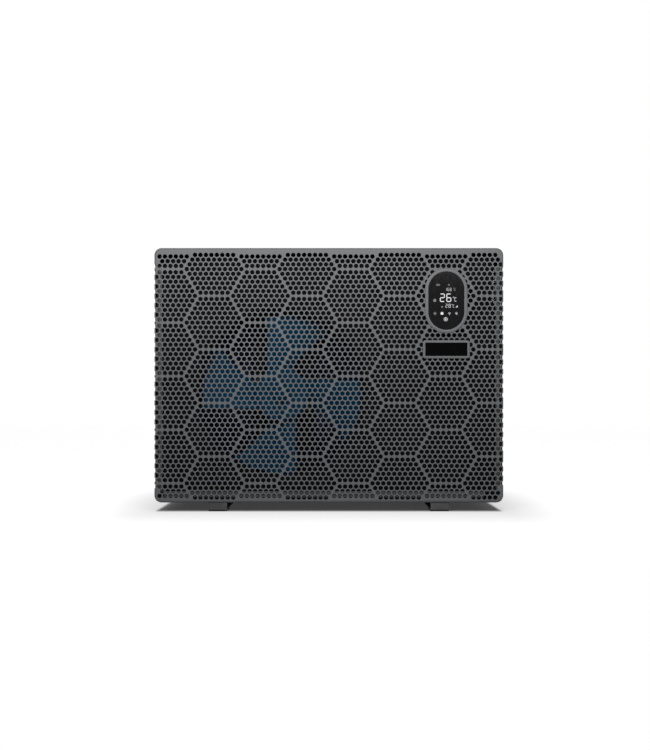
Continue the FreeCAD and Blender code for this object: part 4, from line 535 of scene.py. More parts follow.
window_black = polished_black("smoked glass", (0.0066, 0.0066, 0.0075), 0.010, 0.07)
plate_black = polished_black("black lacquer", (0.0020, 0.0020, 0.0022), 0.004, 0.02)
print("glass:", window_black.name, plate_black.name)

# %% [markdown]
# ## Dressing the frame
# The frame's nodes keep their exact shape and only get a better finish in their material slots. The
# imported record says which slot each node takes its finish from. Two nodes get a finish of their own:
# the name plate, and the bolts of the fan motor, which are blackened so that they don't shine through
# the grille.

# %% Put the finishes on the frame's nodes
FINISHES = {
    "panel_coat": panel_coat, "case_coat": case_coat, "galvanised": galvanised, "inner_sheet": inner_sheet,
    "moulded_black": moulded_black, "bezel_grey": ring_coat, "window_black": window_black,
    "fan_blue": fan_blue, "fin_blue": fin_blue, "copper": copper, "black_enamel": black_enamel,
    "steel": steel, "pvc_grey": pvc_grey, "pvc_white": pvc_white, "rubber": rubber,
    "board_green": board_green, "board_parts": board_parts, "heat_sink": heat_sink}

for name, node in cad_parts.items():
    for place_in_mesh, old in enumerate(node.data.materials):
        node.data.materials[place_in_mesh] = FINISHES[old.name.split(".")[0]]
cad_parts["nameplate"].data.materials[0] = plate_black
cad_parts["mounting_bolts"].data.materials[0] = blackened
print("dressed", len(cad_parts), "nodes with", len(FINISHES), "finishes")

# %% [markdown]
# ## The perforated front: where the holes are
# The grille is punched in fields. Each field is a hexagon of small round holes in staggered rows, and
# the fields stand in staggered columns with a plain bar between them. The holes near the rim, and the
# ones under the display and the plate, are left out. All the centres come from three small arrays
# that are added to each other: the fields' columns, their rows, and the 91 places within a field.

# %% Hole centres
panel_low, panel_high = box_mm("front_panel")
half_width, half_height = half_mm("front_panel")[[0, 2]]
panel_mid_z = middle_mm("front_panel")[2]
panel_at = np.array([0.0, 0.0, panel_mid_z])
display_at, plate_at = middle_mm("display_window"), middle_mm("nameplate")
CORNER, PLATE_CORNER = 18.0, 4.0
HOLE_RADIUS, HOLE_PITCH = 5.65, 13.6
ROW_PITCH = HOLE_PITCH * np.sqrt(0.75)
FIELD_COLUMN, FIELD_ROW = 115.75, 133.58
FIELD_SHIFT, TOP_FIELD_Z = 3.15, 604.75
# Holes are left out past the last column, in the plain rim, in the corners, and where less than
# this much of them would show beside the display's ring or the plate's frame.
LAST_COLUMN, PLAIN_RIM = 437.0, 12.3
CORNER_WIDTH, CORNER_HEIGHT = 11.0, 40.0
LEAST_SHOWN = 0.6


def outside_by(x, z, at, half_w, half_h, radius):
    """How far points are outside a rounded rectangle, negative inside: the usual signed distance of a
    box whose half sides are shortened by the corner radius, less that radius."""
    qx = np.abs(x - at[0]) - (half_w - radius)
    qz = np.abs(z - at[2]) - (half_h - radius)
    return np.hypot(np.maximum(qx, 0), np.maximum(qz, 0)) + np.minimum(np.maximum(qx, qz), 0) - radius


def edge_distance(x, z):
    """How far a point of the face is outside the panel's outline."""
    return outside_by(x, z, panel_at, half_width, half_height, CORNER)


def field_places():
    """The hexagon of 91 places: rows -5 to 5, each with 11 less its row number, shifted by half a
    pitch from one row to the next."""
    row, step = np.meshgrid(np.arange(-5, 6), np.arange(11), indexing="ij")
    used = step < 11 - np.abs(row)
    x = (step - (10 - np.abs(row)) / 2) * HOLE_PITCH
    return np.stack([x[used], (row * ROW_PITCH)[used]], -1)


def hole_centres():
    """Every centre: field columns plus field rows plus the places in a field, less those too near the
    rim or hidden under the display's ring or the plate's frame."""
    column = np.arange(8)
    field_x = (column - 3.5) * FIELD_COLUMN + FIELD_SHIFT
    lowered = np.arange(6)[:, None] * FIELD_ROW
    staggered = (column % 2)[None, :] * FIELD_ROW / 2
    field_z = TOP_FIELD_Z + FIELD_ROW / 2 - lowered - staggered
    fields = np.stack(np.broadcast_arrays(field_x[None, :], field_z), -1).reshape(-1, 1, 2)
    centres = (fields + field_places()[None]).reshape(-1, 2)
    x, z = centres.T
    from_edge = np.minimum(panel_high[2] - z, z - panel_low[2])
    near_corner = (np.abs(x) > half_width - CORNER_WIDTH) & (from_edge < CORNER_HEIGHT)
    keep = (np.abs(x) <= LAST_COLUMN) & (from_edge >= PLAIN_RIM) & ~near_corner
    for node, radius in (("display_bezel", half_mm("display_bezel")[0]), ("nameplate_frame", PLATE_CORNER)):
        half_w, _, half_h = half_mm(node)
        keep &= outside_by(x, z, middle_mm(node), half_w, half_h, radius) > LEAST_SHOWN - HOLE_RADIUS
    return centres[keep]


holes = hole_centres()
print("holes in the front:", len(holes))

# %% [markdown]
# ## The perforated front: one sheet from a triangulation
# Three thousand holes are too many to cut one by one. Instead, all the outlines go into one
# constrained Delaunay triangulation, which fills the flat sheet with triangles that respect every
# outline. Triangles inside a hole are dropped. The flat sheet is larger than the face, because the
# real one is punched first and then bent back at its rim, so the outermost holes go round the bend.
# They are punched longer than the others, as slots, which run on along the side and notch the
# silhouette. The bent sheet is copied inwards along its normals for the back of the wall, and every
# free edge gets a wall, so the panel is a closed shell with real holes in it.

# %% Outlines of the face
# The bend's radius, the sheet's wall, how far the sheet runs back behind the bend, how far a slot runs
# on, and how much larger an opening is than what sits in it. The corners of a twelve-sided hole lie a
# little outside the circle that it stands for.
EDGE_ROUND, WALL, TAIL = 6.0, 2.2, 14.6
SLOT_REACH, SKIRT, CORNERS_OUT = 10.3, 1.5, 1.012
PLATE_SEAT_CORNER = 2.0
TOUCHING, FLAT = 1e-5, 1e-9
LAST_REACH = EDGE_ROUND * (pi / 2 - 1) + TAIL


def rounded_outline(at, half_w, half_h, radius, offset=0.0, steps=9):
    """A rounded rectangle, anticlockwise from the right: for each corner, its centre plus the radius
    and the offset times the direction, over a quarter turn. Repeated points of the plain outline are
    left out, so outlines with different offsets stay in step."""
    turn = (np.arange(4)[:, None] + np.linspace(0, 1, steps)[None, :]) * pi / 2
    sign_x, sign_z = np.array([1, -1, -1, 1])[:, None], np.array([1, 1, -1, -1])[:, None]

    def ring(reach):
        x = at[0] + sign_x * (half_w - radius) + reach * np.cos(turn)
        z = at[2] + sign_z * (half_h - radius) + reach * np.sin(turn)
        return np.stack([x, z], -1).reshape(-1, 2)

    plain = ring(radius)
    apart = np.hypot(*(plain - np.roll(plain, 1, 0)).T) > 1e-6
    return ring(radius + offset)[apart]


def triangulate(loops, holes_from):
    """One constrained Delaunay triangulation of closed loops. Each loop is also given as a face, so
    each triangle comes back with the loops it lies in: those in a loop from number holes_from on
    are holes, and are dropped, like flat ones. Returns points and triangles, anticlockwise."""
    starts = np.cumsum([0] + [len(loop) for loop in loops[:-1]])
    flat = [tuple(p) for p in np.concatenate(loops).tolist()]
    rows = [list(range(start, start + len(loop))) for start, loop in zip(starts, loops)]
    points, _, triangles, _, _, inside = delaunay_2d_cdt(flat, [], rows, 0, TOUCHING, True)
    points = np.array([tuple(p) for p in points])
    kept = np.array([all(loop < holes_from for loop in loops_in) for loops_in in inside])
    triangles = np.array(triangles)[kept]
    a, b, c = (points[triangles[:, k]] for k in range(3))
    turned = (b - a)[:, 0] * (c - a)[:, 1] - (b - a)[:, 1] * (c - a)[:, 0]
    triangles[turned < 0] = triangles[turned < 0][:, ::-1]
    return points, triangles[np.abs(turned) > FLAT]


bend_angles = np.radians([90, 72, 54, 36, 18, 0])
reaches = (LAST_REACH, *EDGE_ROUND * (bend_angles - 1))
face_loops = [rounded_outline(panel_at, half_width, half_height, CORNER, reach) for reach in reaches]
display_half, plate_half = half_mm("display_window"), half_mm("nameplate")
display_seat = rounded_outline(display_at, *display_half[[0, 2]] + SKIRT, display_half[0] + SKIRT,
                               steps=13)
plate_seat = rounded_outline(plate_at, *plate_half[[0, 2]] + SKIRT, PLATE_SEAT_CORNER, steps=4)
twelfth = np.arange(12) * pi / 6
twelve = HOLE_RADIUS * CORNERS_OUT * np.stack([np.cos(twelfth), np.sin(twelfth)], -1)
hole_points = holes[:, None, :] + twelve[None]
outwards = np.where(np.abs(holes[:, 0]) > half_width - EDGE_ROUND / 2, np.sign(holes[:, 0]), 0)
outer_half = twelve[None, :, 0] * outwards[:, None] > 1e-6
hole_points[..., 0] += outer_half * outwards[:, None] * SLOT_REACH
all_loops = face_loops + [display_seat, plate_seat] + list(hole_points)
face_points, face_triangles = triangulate(all_loops, len(face_loops))
print("face of the panel:", len(face_points), "points,", len(face_triangles), "triangles")

# %% Bend the rim, add the back and the walls
def outward_direction(x, z):
    """The direction in the face that leads straight to the rim: away from the nearest corner's centre
    near a corner, and along the nearer side's normal elsewhere."""
    qx, qz = np.abs(x) - (half_width - CORNER), np.abs(z - panel_mid_z) - (half_height - CORNER)
    in_corner = (qx > 0) & (qz > 0)
    out_x = np.where(in_corner, np.maximum(qx, 0), qx >= qz) * np.sign(x)
    out_z = np.where(in_corner, np.maximum(qz, 0), qx < qz) * np.sign(z - panel_mid_z)
    return np.stack([out_x, out_z], -1) / np.maximum(np.hypot(out_x, out_z), 1e-9)[:, None]


def rounded_sheet(points, inset):
    """The flat sheet bent back at its rim and moved inwards by an inset. A point's way past the start
    of the bend, over the bend's radius, is its angle on the bend, up to a right angle; what is left
    runs straight back. On the bend it lies on a circle whose radius is the bend's less the inset."""
    x, z = points.T
    past = np.maximum(edge_distance(x, z) + EDGE_ROUND, 0)
    angle = np.minimum(past / EDGE_ROUND, pi / 2)
    inwards = past - (EDGE_ROUND - inset) * np.sin(angle)
    moved = points - outward_direction(x, z) * inwards[:, None]
    straight_back = np.maximum(past - EDGE_ROUND * pi / 2, 0)
    y = panel_low[1] + EDGE_ROUND - (EDGE_ROUND - inset) * np.cos(angle) + straight_back
    return np.stack([moved[:, 0], y, moved[:, 1]], -1)


def rim_ring(points, inwards, y):
    """Rim points moved to a given distance inside the outline and a given depth."""
    x, z = points.T
    moved = points - outward_direction(x, z) * (edge_distance(x, z) + inwards)[:, None]
    return np.stack([moved[:, 0], np.full(len(x), y), moved[:, 1]], -1)


def free_edges(triangles):
    """Edges that only one triangle uses, in that triangle's direction."""
    edges = np.concatenate([triangles[:, [0, 1]], triangles[:, [1, 2]], triangles[:, [2, 0]]])
    _, which, uses = np.unique(np.sort(edges, 1), axis=0, return_inverse=True, return_counts=True)
    return edges[uses[which.reshape(-1)] == 1]


RIM_CHAMFER, ON_RIM = 0.6, 0.05
edges = free_edges(face_triangles)
edge_reach = edge_distance(*face_points[edges].reshape(-1, 2).T).reshape(-1, 2)
on_rim = (edge_reach > LAST_REACH - ON_RIM).all(1)
rim_points = np.unique(edges[on_rim])
place_on_rim = np.full(len(face_points), -1)
place_on_rim[rim_points] = np.arange(len(rim_points))
back_y = panel_high[1]
rings = [rim_ring(face_points[rim_points], inwards, y) for inwards, y in
         ((0.0, back_y - RIM_CHAMFER), (RIM_CHAMFER, back_y), (WALL, back_y))]
count = len(face_points)
starts = 2 * count + np.arange(len(rings)) * len(rim_points)
a, b = edges[on_rim].T
ring_lines = [(place_on_rim[a] + start, place_on_rim[b] + start) for start in starts]
lines = [(a, b), *ring_lines, (a + count, b + count)]
rim_quads = [np.stack([b0, a0, a1, b1], -1) for (a0, b0), (a1, b1) in zip(lines, lines[1:])]
a, b = edges[~on_rim].T
hole_quads = np.stack([b, a, a + count, b + count], -1)
panel_points = np.concatenate([rounded_sheet(face_points, 0.0), rounded_sheet(face_points, WALL), *rings])
panel_tables = [face_triangles, face_triangles[:, ::-1] + count, np.concatenate([hole_quads, *rim_quads])]
add_piece("perforated_front", panel_points, panel_tables, panel_coat, "panel_coat",
          stands_for=["front_panel"], crease=40.0)

# %% [markdown]
# ## Hooded louvres on the left side
# The air slots of a side sheet are pressed, not just cut: the metal over each slot is pushed out into
# a shallow hood, which keeps rain out and hides the inside. A hood is an awning whose reach grows over
# a quarter of a sine wave from its top to its open lower edge, and falls to nothing at both ends. Its
# wall is a second copy of the same surface, a sheet's thickness nearer the side.

# %% Louvre hoods
side_x, side_middle_y = box_mm("left_side_panel")[0][0], middle_mm("left_side_panel")[1]
SLOT_FIRST_Z, SLOT_PITCH_Z, SLOT_ROWS = 84.0, 15.5, 22
SLOT_LENGTH, SLOT_SPACING = 84.0, 97.0
HOOD_REACH, HOOD_WALL, HOOD_HEIGHT = 2.5, 0.7, 7.6
HOOD_OVERLAP, HOOD_DROP, INNER_SHARE = 2.0, 0.6, 0.985


def louvre_hoods():
    """Reach of a hood at u across (-1 to 1) and v down (0 to 1): the full reach times the sine of a
    quarter turn times v, times the fourth root of one less u to the fourth power. The outer and the
    inner sheet are joined all round, and the hood is repeated at each row and column of slots."""
    across, down = 11, 5
    u, v = np.meshgrid(np.linspace(-1, 1, across), np.linspace(0, 1, down))
    swell = np.sin(v * pi / 2) * np.clip(1 - u ** 4, 0, 1) ** 0.25
    y, z = u * (SLOT_LENGTH / 2 + HOOD_OVERLAP), HOOD_HEIGHT * (1 - v) - HOOD_DROP
    outer = np.stack([-HOOD_REACH * swell, y, z], -1).reshape(-1, 3)
    inner = np.stack([HOOD_WALL - HOOD_REACH * swell, y * INNER_SHARE, z], -1).reshape(-1, 3)
    one = np.concatenate([outer, inner])
    grid = grid_faces(down, across)
    number = np.arange(across * down).reshape(down, across)
    rim = np.concatenate([number[0], number[1:, -1], number[-1, -2::-1], number[-2:0:-1, 0]])
    after = np.roll(rim, -1)
    walls = np.stack([rim, after, after + number.size, rim + number.size], -1)
    faces = np.concatenate([grid[:, ::-1], grid + number.size, walls])
    places = np.array([(side_x, side_middle_y + column * SLOT_SPACING, SLOT_FIRST_Z + row * SLOT_PITCH_Z)
                       for column in (-1, 0, 1) for row in range(SLOT_ROWS)])
    points = (places[:, None] + one[None]).reshape(-1, 3)
    return points, [repeat_faces(faces, len(places), len(one))]


add_piece("left_louvres", *louvre_hoods(), case_coat, "case_coat", crease=30.0)

# %% [markdown]
# ## The gasket between the panel and the case
# The front panel hangs on clips and would rattle on the case, so a soft black gasket closes the seam
# between them. It is a small profile, rounded towards the front, carried along the panel's outline
# just inside its wall.

# %% Gasket
def carried_loop(at, half_w, half_h, radius, profile, steps=9):
    """A closed profile of (distance outwards, place along Y) carried along a rounded outline: each
    profile point gives one loop of the outline, moved outwards by its distance."""
    loops = [rounded_outline(at, half_w, half_h, radius, offset, steps) for offset in profile[:, 0]]
    points = np.stack([np.insert(loop, 1, y, axis=1) for loop, y in zip(loops, profile[:, 1])])
    return points.reshape(-1, 3), [grid_faces(len(profile), points.shape[1], True, True)]


GASKET_FRONT, GASKET_BACK, GASKET_WIDTH = 5.0, 4.0, 3.0
# The gasket's outer line is just inside the wall, and steps in behind the wall's edge.
WALL_GAP, REAR_GAP, STEP_FRONT, STEP_BACK = 0.15, 0.60, 0.2, 0.4
outer_line, rear_line, gasket_end = -WALL - WALL_GAP, -WALL - REAR_GAP, back_y + GASKET_BACK
nose = np.linspace(0, pi, 9)
gasket_profile = np.concatenate([
    np.stack([outer_line - GASKET_WIDTH / 2 * (1 - np.cos(nose)), back_y - GASKET_FRONT - np.sin(nose)], -1),
    [[outer_line - GASKET_WIDTH, gasket_end], [rear_line, gasket_end],
     [rear_line, back_y + STEP_BACK], [outer_line, back_y + STEP_FRONT]]])
gasket = carried_loop(panel_at, half_width, half_height, CORNER, gasket_profile)
add_piece("panel_gasket", *gasket, rubber, "rubber")

# %% [markdown]
# ## The liners inside the rim
# The slots that run round the bend would let daylight through the corner of the shell. A near-black
# strip inside each upright rim closes them; its black is painted shade, the dark inside of the shell
# behind the notches. It is a plain bar: four edges, carried straight up.

# %% Rim liners
LINER_GAP, LINER_THICK = 0.35, 0.9
LINER_FRONT, LINER_BACK, LINER_END = 7.0, 4.0, 24.0


def upright_bars():
    """Two closed bars, left and right. Each is a rectangle just inside the wall of the rim, moved from
    the lower end to the upper one, with a lid at both ends."""
    outer = half_width - WALL - LINER_GAP
    across = np.array([outer, outer, outer - LINER_THICK, outer - LINER_THICK])
    front, back = panel_low[1] + LINER_FRONT, back_y - LINER_BACK
    depth = np.array([front, back, back, front])
    ends = np.array([panel_low[2] + LINER_END, panel_high[2] - LINER_END])
    points, sides, lids = [], [], []
    for k, side in enumerate((-1, 1)):
        corners = np.broadcast_arrays(side * across[:, None], depth[:, None], ends)
        points.append(np.stack(corners, -1).reshape(-1, 3))
        sides.append(grid_faces(4, 2, True, False)[:, ::side] + 8 * k)
        lids.append(np.array([[0, 2, 4, 6], [7, 5, 3, 1]])[:, ::side] + 8 * k)
    return np.concatenate(points), [np.concatenate(sides), np.concatenate(lids)]


# Near black: painted shade seen through the slots in the rim.
add_piece("rim_liners", *upright_bars(), shade_black_foam, "rubber")

# %% [markdown]
# ## Painted shade and edging behind the lowest holes
# The drip tray's front edge lies just behind the lowest rows of holes. A near-black strip lies along
# its foot and over both of its ends: its black is painted shade, the dark gap under and beside the edge.
# A grey edging strip, lit by the lamps, covers the rest of it. Both are what the lowest holes show.

# %% Painted shade seal and edging
tray_low, tray_high = box_mm("base_pan")
STRIP_STATIONS, STRIP_ROWS = 81, 7
BULGE, WAVE_HEIGHT, WAVE_TURN = 0.45, 0.12, 0.11
STRIP_FRONT, STRIP_BACK = 0.9, 0.1
strip_front, strip_back = tray_low[1] - STRIP_FRONT, tray_low[1] - STRIP_BACK


def foam_strip(left, right, low, high):
    """A closed strip along X: its section is a rectangle whose front bulges by half a sine wave over
    its height, and its front is a little wavy along its length, as soft foam is."""
    x = np.linspace(left, right, STRIP_STATIONS)
    v = np.linspace(0, 1, STRIP_ROWS)
    bulge = strip_front + (strip_back - strip_front) * (BULGE - BULGE * np.sin(v * pi))
    section_y = np.concatenate([bulge, [strip_back, strip_back]])
    section_z = np.concatenate([low + (high - low) * v, [high, low]])
    wave = WAVE_HEIGHT * np.sin(x * WAVE_TURN) * np.concatenate([np.sin(v * pi), [0, 0]])[:, None]
    wavy_y = section_y[:, None] + np.maximum(wave, 0)
    rings = np.stack(np.broadcast_arrays(x[None, :], wavy_y, section_z[:, None]), -1)
    row = np.arange(STRIP_ROWS) * STRIP_STATIONS
    last_row = np.full(STRIP_ROWS, (STRIP_ROWS + 1) * STRIP_STATIONS)
    lid = np.stack([row, row + STRIP_STATIONS, last_row], -1)
    lids = np.concatenate([lid, (lid + STRIP_STATIONS - 1)[:, ::-1]])
    return rings.reshape(-1, 3), [grid_faces(STRIP_ROWS + 2, STRIP_STATIONS, True, False), lids]


EDGING_HEIGHT, EDGING_LEFT, EDGING_RIGHT = 13.7, 22.0, 46.0
STRIP_DROP, FOAM_RAISE, FOAM_END, SEAM = 1.0, 4.2, 3.0, 0.1
edging_left, edging_right = tray_low[0] + EDGING_LEFT, tray_high[0] - EDGING_RIGHT
strip_top = tray_high[2] - STRIP_DROP
edging_foot, foam_foot = strip_top - EDGING_HEIGHT, panel_low[2] + FOAM_RAISE
foam_left, foam_right = tray_low[0] + FOAM_END, tray_high[0] - FOAM_END
strips = [foam_strip(left, right, foam_foot, top) for left, right, top in
          ((edging_left, edging_right, edging_foot - SEAM), (foam_left, edging_left - SEAM, strip_top),
           (edging_right + SEAM, foam_right, strip_top))]
strip_points = np.concatenate([points for points, _ in strips])
strip_tables = [repeat_faces(table, len(strips), len(strips[0][0])) for table in strips[0][1]]
# Near-black painted shade at the foot and the ends of the tray's edge.
add_piece("shade_seal", strip_points, strip_tables, shade_black_foam, "rubber")
add_piece("tray_edging", *foam_strip(edging_left, edging_right, edging_foot, strip_top), foam_grey, "rubber")

# %% [markdown]
# ## A cap over the fan's nut
# The fan's nut sits under a domed cap of the same blue plastic as the hub. It is a profile turned
# about the fan's axis: a short skirt, a small shoulder and a shallow dome.

# %% Hub cap
def turned(profile, centre, steps=48):
    """Turns a profile of (radius, place along Y) about the Y axis through a centre: each point goes
    round as the cosine and sine of the turn times its radius."""
    turn = np.arange(steps) * 2 * pi / steps
    radius, along = profile.T
    x, z = centre[0] + radius[:, None] * np.cos(turn), centre[2] + radius[:, None] * np.sin(turn)
    ring = np.stack([x, np.broadcast_to(along[:, None], x.shape), z], -1)
    return ring.reshape(-1, 3), [grid_faces(len(radius), steps, True, True)]


CAP_RADIUS, CAP_SKIRT, CAP_HEIGHT, NEAR_AXIS = 19.0, 9.0, 21.0, 0.02
CAP_WALL, CAP_CROWN, FLANGE_WIDTH, FLANGE_TOP, SHOULDER, REST = 1.8, 1.6, 1.4, 1.4, 2.4, 0.1
cap_inside, cap_flange = CAP_RADIUS - CAP_WALL, CAP_RADIUS + FLANGE_WIDTH
hub_face = box_mm("fan_nut")[1][1]
dome = np.linspace(0, pi / 2, 9)
dome_rise = CAP_SKIRT + (CAP_HEIGHT - CAP_SKIRT) * np.sin(dome)
# Each row is a radius and a height above the face of the hub.
cap_line = np.concatenate([
    [(NEAR_AXIS, CAP_HEIGHT - CAP_CROWN), (cap_inside, CAP_SKIRT), (cap_inside, REST), (cap_flange, REST),
     (cap_flange, FLANGE_TOP), (CAP_RADIUS, SHOULDER)],
    np.stack([np.maximum(CAP_RADIUS * np.cos(dome), NEAR_AXIS), dome_rise], -1)])
cap_profile = np.stack([cap_line[:, 0], hub_face - cap_line[:, 1]], -1)
add_piece("hub_cap", *turned(cap_profile, middle_mm("fan_rotor")), fan_blue, "fan_blue", body="fan",
          crease=40.0)

# %% [markdown]
# ## The display's ring and the plate's frame
# Both are raised rims that follow a rounded outline. That is a profile carried along a path: the path
# gives a place and a direction outwards, and the profile gives a distance outwards and a height above
# the panel. Every point is found at once by broadcasting one array against the other.

# %% Rims around the display and the plate
CREST, INNER_EDGE = 0.35, 0.72
ABOVE_PANEL, LEG_GAP = 0.02, 0.15


def carried_rim(at, half_w, half_h, radius, width, height, foot_y, steps):
    """A closed profile along a rounded outline. The crown rises by a quarter of an ellipse from its
    inner edge to its crest, a third of the way across, and falls by another to the panel; under it,
    a leg reaches back through the panel."""
    u = np.linspace(0, 1, 13)
    rising = np.sqrt(np.clip(1 - ((CREST - u) / CREST) ** 2, 0, 1))
    falling = np.sqrt(np.clip(1 - ((u - CREST) / (1 - CREST)) ** 2, 0, 1))
    rise = np.where(u < CREST, INNER_EDGE + (1 - INNER_EDGE) * rising, falling)
    crown = np.stack([u * width, panel_low[1] - rise * height], -1)
    foot, leg = panel_low[1] + ABOVE_PANEL, SKIRT - LEG_GAP
    profile = np.concatenate([crown, [[width, foot], [leg, foot], [leg, foot_y], [0.0, foot_y]]])
    return carried_loop(at, half_w, half_h, radius, profile, steps)


# Each rim: its name, its node, the place and half size of what it frames, the gap, the radius of its
# corners and the steps round each.
for name, node, at, half, gap, radius, steps in (
        ("display_ring", "display_bezel", display_at, display_half, 0.05, display_half[0] + 0.05, 25),
        ("plate_rim", "nameplate_frame", plate_at, plate_half, 0.02, 1.0, 7)):
    low, high = box_mm(node)
    width = high[0] - at[0] - half[0] - gap
    rim = carried_rim(at, half[0] + gap, half[2] + gap, radius, width, panel_low[1] - low[1], high[1], steps)
    add_piece(name, *rim, ring_coat, "bezel_grey", stands_for=[node], crease=50.0)

# %% [markdown]
# ## What the display shows
# The display lights up generic signs only: temperatures in seven-bar figures, a degree sign, a few
# round icons and a row of mode icons. Each sign is a thin raised plate on the glass. Two kinds of
# plate are enough: a bar whose ends are pointed, and a band along an arc. They glow at three levels.

# %% Plates for the signs
glass_front = box_mm("display_window")[0][1]
SIGN_PROUD, SIGN_SUNK = 0.06, 0.04
TIP = 0.02


def plate_of(left, right, closed=False):
    """A thin solid between two lines of points in the window's plane: their front and back copies
    make a four-sided tube, which is closed on itself or by an end face at each end."""
    front, back = glass_front - SIGN_PROUD, glass_front + SIGN_SUNK
    edges = ((left, front), (right, front), (right, back), (left, back))
    points = np.stack([np.insert(side, 1, y, axis=1) for side, y in edges], 1)
    return points.reshape(-1, 3), tube_faces(len(left), closed)


def bar(start, end, width):
    """A straight bar with pointed ends: four stations along it, whose half widths are almost none,
    full, full and almost none, with the full ones moved in by half the width."""
    start, end = np.array(start, float), np.array(end, float)
    along = (end - start) / np.hypot(*(end - start))
    across = np.array([-along[1], along[0]]) * width / 2
    stations = np.stack([start, start + along * width / 2, end - along * width / 2, end])
    half = np.array([TIP, 1, 1, TIP])[:, None] * across
    return plate_of(stations + half, stations - half)


def arc(at, radius, width, start, stop, steps=16):
    """A band along an arc: two arcs, half a width outside and inside the radius."""
    whole = abs(stop - start) >= 360
    turn = np.radians(np.linspace(start, stop, steps, endpoint=not whole))
    ray = np.stack([np.cos(turn), np.sin(turn)], -1)
    outer, inner = radius + width / 2, max(radius - width / 2, TIP)
    return plate_of(np.array(at) + ray * outer, np.array(at) + ray * inner, whole)


def circle(at, radius, width, steps):
    """A band all round."""
    return arc(at, radius, width, 0, 360, steps)


def disc(at, radius, steps):
    """A filled disc: a band that reaches from the middle to the radius."""
    return circle(at, radius / 2, radius, steps)


def figure(bars, at, width, height, stroke):
    """A seven-bar figure: its bars are named a to g as on any such display, clockwise from the top,
    with g in the middle."""
    x0, z0, gap = at[0], at[1], stroke * 0.12
    x1, zm, z1 = x0 + width, z0 + height / 2, z0 + height
    ends = {"a": (x0, z1, x1, z1), "b": (x1, zm, x1, z1), "c": (x1, z0, x1, zm), "d": (x0, z0, x1, z0),
            "e": (x0, z0, x0, zm), "f": (x0, zm, x0, z1), "g": (x0, zm, x1, zm)}
    made = []
    for name in bars:
        start, end = np.reshape(ends[name], (2, 2)).astype(float)
        shorten = (end - start) / np.hypot(*(end - start)) * gap
        made.append(bar(start + shorten, end - shorten, stroke))
    return made


FIGURES = {"1": "bc", "2": "abged", "6": "acdefg", "8": "abcdefg", "C": "adef"}
print("signs know the figures", "".join(FIGURES))

# %% Icons
def write_figures(text, at, width, height, stroke, step=0.0):
    """Figures side by side, a step apart."""
    return [shell for k, mark in enumerate(text)
            for shell in figure(FIGURES[mark], (at[0] + k * step, at[1]), width, height, stroke)]


def spoke(at, angle, start, end, width):
    """A bar that points away from a place, from one distance to another."""
    ray = np.array([np.cos(angle), np.sin(angle)])
    return bar(at + ray * start, at + ray * end, width)


def sun(at, radius):
    """A small disc with eight short rays around it."""
    rays = [spoke(at, angle, radius * 0.66, radius, radius * 0.2) for angle in np.arange(8) * pi / 4]
    return [disc(at, radius * 0.44, 12), *rays]


def snowflake(at, radius):
    """Three bars crossed at sixty degrees."""
    return [spoke(at, angle, -radius, radius, radius * 0.22) for angle in np.arange(3) * pi / 3 + pi / 6]


def waves(at, radius):
    """Three arcs over a dot, each wider than the last."""
    arcs = [arc(at, radius * share, radius * 0.14, 45, 135, 10) for share in (0.4, 0.7, 1.0)]
    return [disc(at, radius * 0.2, 8), *arcs]


def wedge(at, size):
    """A triangle that rises to the right: three bars side by side, each taller than the one before."""
    return [spoke(at + np.array([k * size / 3, 0.0]), pi / 2, 0.0, size * (0.55 + 0.35 * k), size * 0.34)
            for k in range(3)]


def disc_sign(at, radius):
    """A power sign on a lit disc: the disc is a wide band, and the sign is what the band leaves out, a
    narrow dark ring that is open at the top."""
    return [circle(at, radius * 0.86, radius * 0.28, 24), disc(at, radius * 0.44, 14),
            spoke(at, pi / 2, radius * 0.1, radius * 0.85, radius * 0.3)]


def on_glass(right, up):
    """A place on the window, in millimetres from its middle."""
    return np.array([display_at[0] + right, display_at[2] + up])


print("icons ready")

# %% Finish: lit signs
def lit_sign(name, strength, tint):
    """A lit sign: pale plastic that glows, a little unevenly, as the lamp behind it does."""
    finish, tree, shader, place = start_finish(name)
    uneven = between(tree, noise(tree, place, 160.0, 2.0), 0.3, 0.7, 0.86, 1.0)
    dim = tuple(0.82 * part for part in tint)
    unlit = blend_colours(tree, uneven, (0.02, 0.02, 0.02, 1), (0.03, 0.03, 0.03, 1))
    fill(tree, shader, {"Emission Color": blend_colours(tree, uneven, (*dim, 1), (*tint, 1)),
                        "Base Color": unlit, "Emission Strength": strength,
                        "Specular IOR Level": 0.1, "Roughness": 0.4})
    return finish


bright_sign = lit_sign("bright sign", 0.88, (1.0, 1.0, 0.98))
middle_sign = lit_sign("middle sign", 0.60, (0.95, 0.97, 1.0))
faint_sign = lit_sign("faint sign", 0.21, (0.95, 0.97, 1.0))
print("signs:", bright_sign.name, middle_sign.name, faint_sign.name)

# %% Lay the signs out
# Each sign: its place on the glass, then its sizes in millimetres and, for a round one, its corners.
bright = write_figures("26", on_glass(-15.2, -2.2), 10.2, 18.8, 2.1, 16.2)
bright += [disc(on_glass(-10.8, -32.0), 3.2, 16), *sun(on_glass(-10.8, -32.0), 4.4)]
middle = write_figures("28", on_glass(-2.0, -17.2), 4.4, 8.6, 1.25, 7.8)
middle += [circle(on_glass(14.4, -10.0), 0.9, 0.7, 10)]
middle += write_figures("C", on_glass(16.8, -16.8), 3.0, 6.4, 1.1)
middle += [circle(on_glass(17.8, 8.2), 1.3, 0.9, 12)]
middle += write_figures("C", on_glass(20.6, -1.6), 4.8, 8.8, 1.7)
middle += wedge(on_glass(24.2, -17.4), 4.8) + disc_sign(on_glass(-1.6, -46.3), 5.0)
middle += snowflake(on_glass(25.0, -32.0), 4.0) + waves(on_glass(7.6, -35.0), 5.2)
middle += write_figures("168", on_glass(-3.0, 24.0), 3.2, 7.4, 0.85, 6.0)
